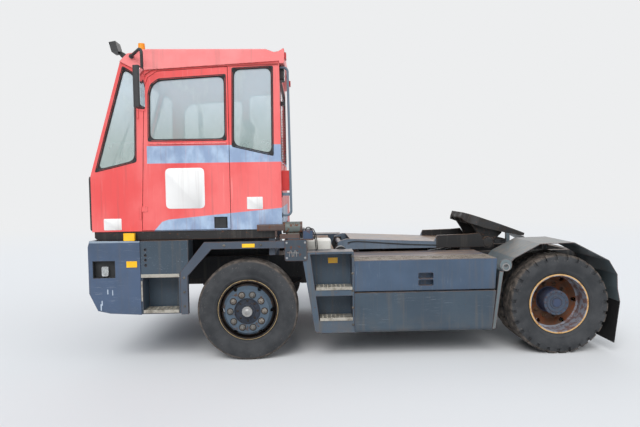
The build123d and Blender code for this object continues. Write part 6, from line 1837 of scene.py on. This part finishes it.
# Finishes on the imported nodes


@dataclass
class Paintwork:
    """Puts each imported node's finish on it."""

    nodes: dict

    def painted(self) -> tuple[tuple, ...]:
        """The enamelled nodes, each finish followed by the nodes that wear it.

        Returns:
            One row for each finish.
        """
        # a paler band along the bumper's top edge, then bare scuffs near its lower corner on both sides
        scuffs = tuple((shade, (x0, x1, -1.3, 1.3, z0, z1)) for shade, x0, x1, z0, z1 in (
            ("#8E9CAA", -2.64, -2.10, 1.196, 1.230),
            ("#AEBAC8", -2.393, -2.385, 0.683, 0.735),
            ("#AEBAC8", -2.441, -2.431, 0.695, 0.742),
            ("#B4C0CE", -2.510, -2.499, 0.537, 0.600),
            ("#B4C0CE", -2.499, -2.489, 0.585, 0.632)))
        # the boom's black rear end, and the latch's cylinder, hook plate and shelf
        boom_end = (("#1C1C1D", (0.966, 3.0, -2.0, 2.0, 0.0, 3.0)),)
        latch_parts = (("#5C6460", (-0.700, -0.555, -1.25, -1.12, 1.25, 1.38)),
                       ("#38424C", (-0.720, -0.480, -1.26, -1.235, 0.97, 1.21)),
                       ("#34465F", (-0.529, -0.426, -1.24, -1.14, 1.1965, 1.3)))
        return (
            (Enamel("slate_enamel", "#3E4E64", "#4F6280", rust_share=0.1, edge_share=0.35, soil_top=0.62,
                    lay=Lay.LEVEL, scratch_share=0.75, streak_share=0.2, top_dust=0.3, accents=scuffs),
             "bumper"),
            (Enamel("hood_enamel", "#DF5453", "#EE7E7B", rust_share=0.15, edge_share=0.4, scuff="#F5D2CF",
                    soil="#8A5B58", streak_share=0.3), "engine_hood"),
            (Enamel("step_enamel", "#35434F", "#43515F", rust_share=0.25, edge_share=0.7, soil_top=0.6,
                    scratch_share=0.4, streak_share=0.4, top_dust=0.6), "front_steps"),
            # a lighter, bluer copy of the step enamel: painted light for the deck steps, which stand in the
            # shade of their recess
            (Enamel("step_wall_enamel", "#41505E", "#526374", rust_share=0.3, edge_share=0.8, soil_top=0.6,
                    scratch_share=0.4, streak_share=0.5, top_dust=0.6), "deck_steps"),
            (Enamel("tank_enamel", "#354350", "#44535F", rust_share=0.14, edge_share=0.5, soil_top=0.5,
                    lay=Lay.LEVEL, scratch_share=0.45, streak_share=0.35, top_dust=0.85),
             "tank_left", "tank_right"),
            (Enamel("cover_enamel", "#3D4E62", "#4C5F77", rust_share=0.14, edge_share=0.5, lay=Lay.UPRIGHT,
                    scratch_share=0.4, streak_share=0.4, top_dust=0.85), "tank_covers"),
            (Enamel("guard_enamel", "#3F4855", "#545E6C", rust_share=0.3, edge_share=0.65, soil_top=0.8,
                    top_dust=0.4), "arch_guards", "cab_mounts"),
            (Enamel("wing_enamel", "#58646A", "#737E80", rust_share=0.3, edge_share=0.95, scratch_share=0.5,
                    soil_top=0.7, rust="#8A4A34", top_dust=0.35, edge_width=0.01), "rear_wings"),
            (Enamel("chassis_enamel", "#1D1E21", "#2B2D30", rust_share=0.35, edge_share=0.5, soil_top=0.9,
                    scratch_share=0.15, roughness=0.6, top_dust=0.3),
             "frame", "front_axle", "leaf_springs", "rear_axle", "engine", "propshaft", "knuckle_left",
             "knuckle_right", "tie_rod", "lift_barrel_left", "lift_barrel_right"),
            (Enamel("boom_enamel", "#5B6978", "#717E8C", rust_share=0.35, edge_share=0.8, scratch_share=0.4,
                    top_dust=1.0, accents=boom_end), "boom"),
            (Enamel("latch_enamel", "#4A3B38", "#665148", rust_share=0.8, edge_share=1.0, edge_width=0.012,
                    accents=latch_parts), "cab_latch"),
            (Enamel("sill_enamel", "#161516", "#231E1C", rust_share=0.45, edge_share=0.9, edge_width=0.012),
             "cab_subframe"),
            (BandedEnamel("cab_enamel"), "cab_shell", "door"),
            (Enamel("roof_enamel", "#EE7C7B", "#F69C9A", rust_share=0.1, edge_share=0.4, scuff="#F5D2CF",
                    soil="#A0726E", streak_share=0.3), "cab_roof"),
            (RimEnamel("front_rim_enamel", FRONT_X, 0.2935, 0.243, 0.13, "#231D1B", "#4B5A68", "#2B313C",
                       ring="#A8926A", ring_dark="#6A4A2E", rust="#5A4634", rust_share=0.35),
             "wheel_front_left", "wheel_front_right"),
            (RimEnamel("rear_rim_enamel", REAR_X, 0.2865, 0.264, 0.135, ring="#CDA56E", rust_share=0.75),
             "wheels_rear_left", "wheels_rear_right"),
        )

    def plain(self) -> tuple[tuple, ...]:
        """The nodes in bare metal, glass, plastic, rubber and cloth, each finish followed by its nodes.

        Returns:
            One row for each finish.
        """
        # red tail lamps; the canister beside the white reservoir; beacon, grab pipe and gland on the cab
        red_lamps = (("#C4161C", (2.3, 3.0, -2.0, 2.0, 0.0, 2.0)),)
        canister = (("#1A1B1D", (-0.215, 0.2, -2.0, 2.0, 0.0, 2.0)),)
        cab_parts = (("#F39A12", (-2.16, -2.05, -1.05, -0.95, 3.0745, 3.3)),
                     ("#5F6F7C", (-0.722, -0.60, -1.17, -1.13, 1.40, 2.90)),
                     ("#B8252A", (-0.69, -0.64, -2.0, 1.0, 2.95, 3.03)))
        return (
            (CabGlass("toughened_glass"), "cab_glass", "door_glass"),
            (RolledSteel("deck_plate_steel", "#7A6C60", "#7E5B45", "#A29686"), "deck_plate"),
            (GreasedIron("greased_iron"), "fifth_wheel"),
            (MillAluminium("tread_aluminium"), "step_treads"),
            (LampLens("clear_lens"), "head_lamps"),
            (Moulding("amber_lens", "#F7B50E", "#FFCB2E", 0.18, 90.0, 0.0006, red_lamps), "marker_lamps"),
            (BrightMetal("hard_chrome"), "lift_rod_left", "lift_rod_right"),
            (Moulding("reservoir_plastic", "#DCDAD3", "#C4BFB4", 0.4, 120.0, 0.0003, canister), "reservoir"),
            (Moulding("beacon_and_lamp_moulding", "#1B1C1E", "#2E2F31", 0.45, 320.0, 0.0003, cab_parts),
             "cab_fittings"),
            (Moulding("red_connector_moulding", "#C8322F", "#D9524C", 0.4), "connector_box"),
            (Moulding("black_moulding"), "door_handle", "seat_base", "dashboard", "steering_wheel", "mirrors",
             "lamp_housings", "nose_panel"),
            (Moulding("black_rubber", "#0C0C0D", "#1A1A1B", 0.75, 200.0), "mud_flaps", "air_hose",
             "tyre_front_left", "tyre_front_right", "tyres_rear_left", "tyres_rear_right"),
            (WovenCloth("seat_cloth_under"), "seat_cushion", "seat_back"),
        )

    def build(self) -> None:
        """Build each finish once and give it to its nodes."""
        for finish, *names in (*self.painted(), *self.plain()):
            material = finish.build()
            for name in names:
                node = self.nodes[name]
                node.data.materials.clear()
                node.data.materials.append(material)
            LOG.info("%s on %s", finish.name, ", ".join(names))


def main() -> None:
    """Dress the tractor."""
    logging.basicConfig(level=logging.INFO, format="%(message)s")
    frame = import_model()
    Studio().build()
    Paintwork(frame["nodes"]).build()
    ring, grid = Repeater(Layout.RING), Repeater(Layout.GRID)
    AirHose().build()
    Tyres().build()
    WheelFittings(ring).build()
    Glazing(frame["nodes"]).build()
    CabTrim().build()
    Seat(frame["nodes"]).build()
    CabInside(grid).build()
    SteelFittings(grid).build()


if __name__ == "__main__":
    main()
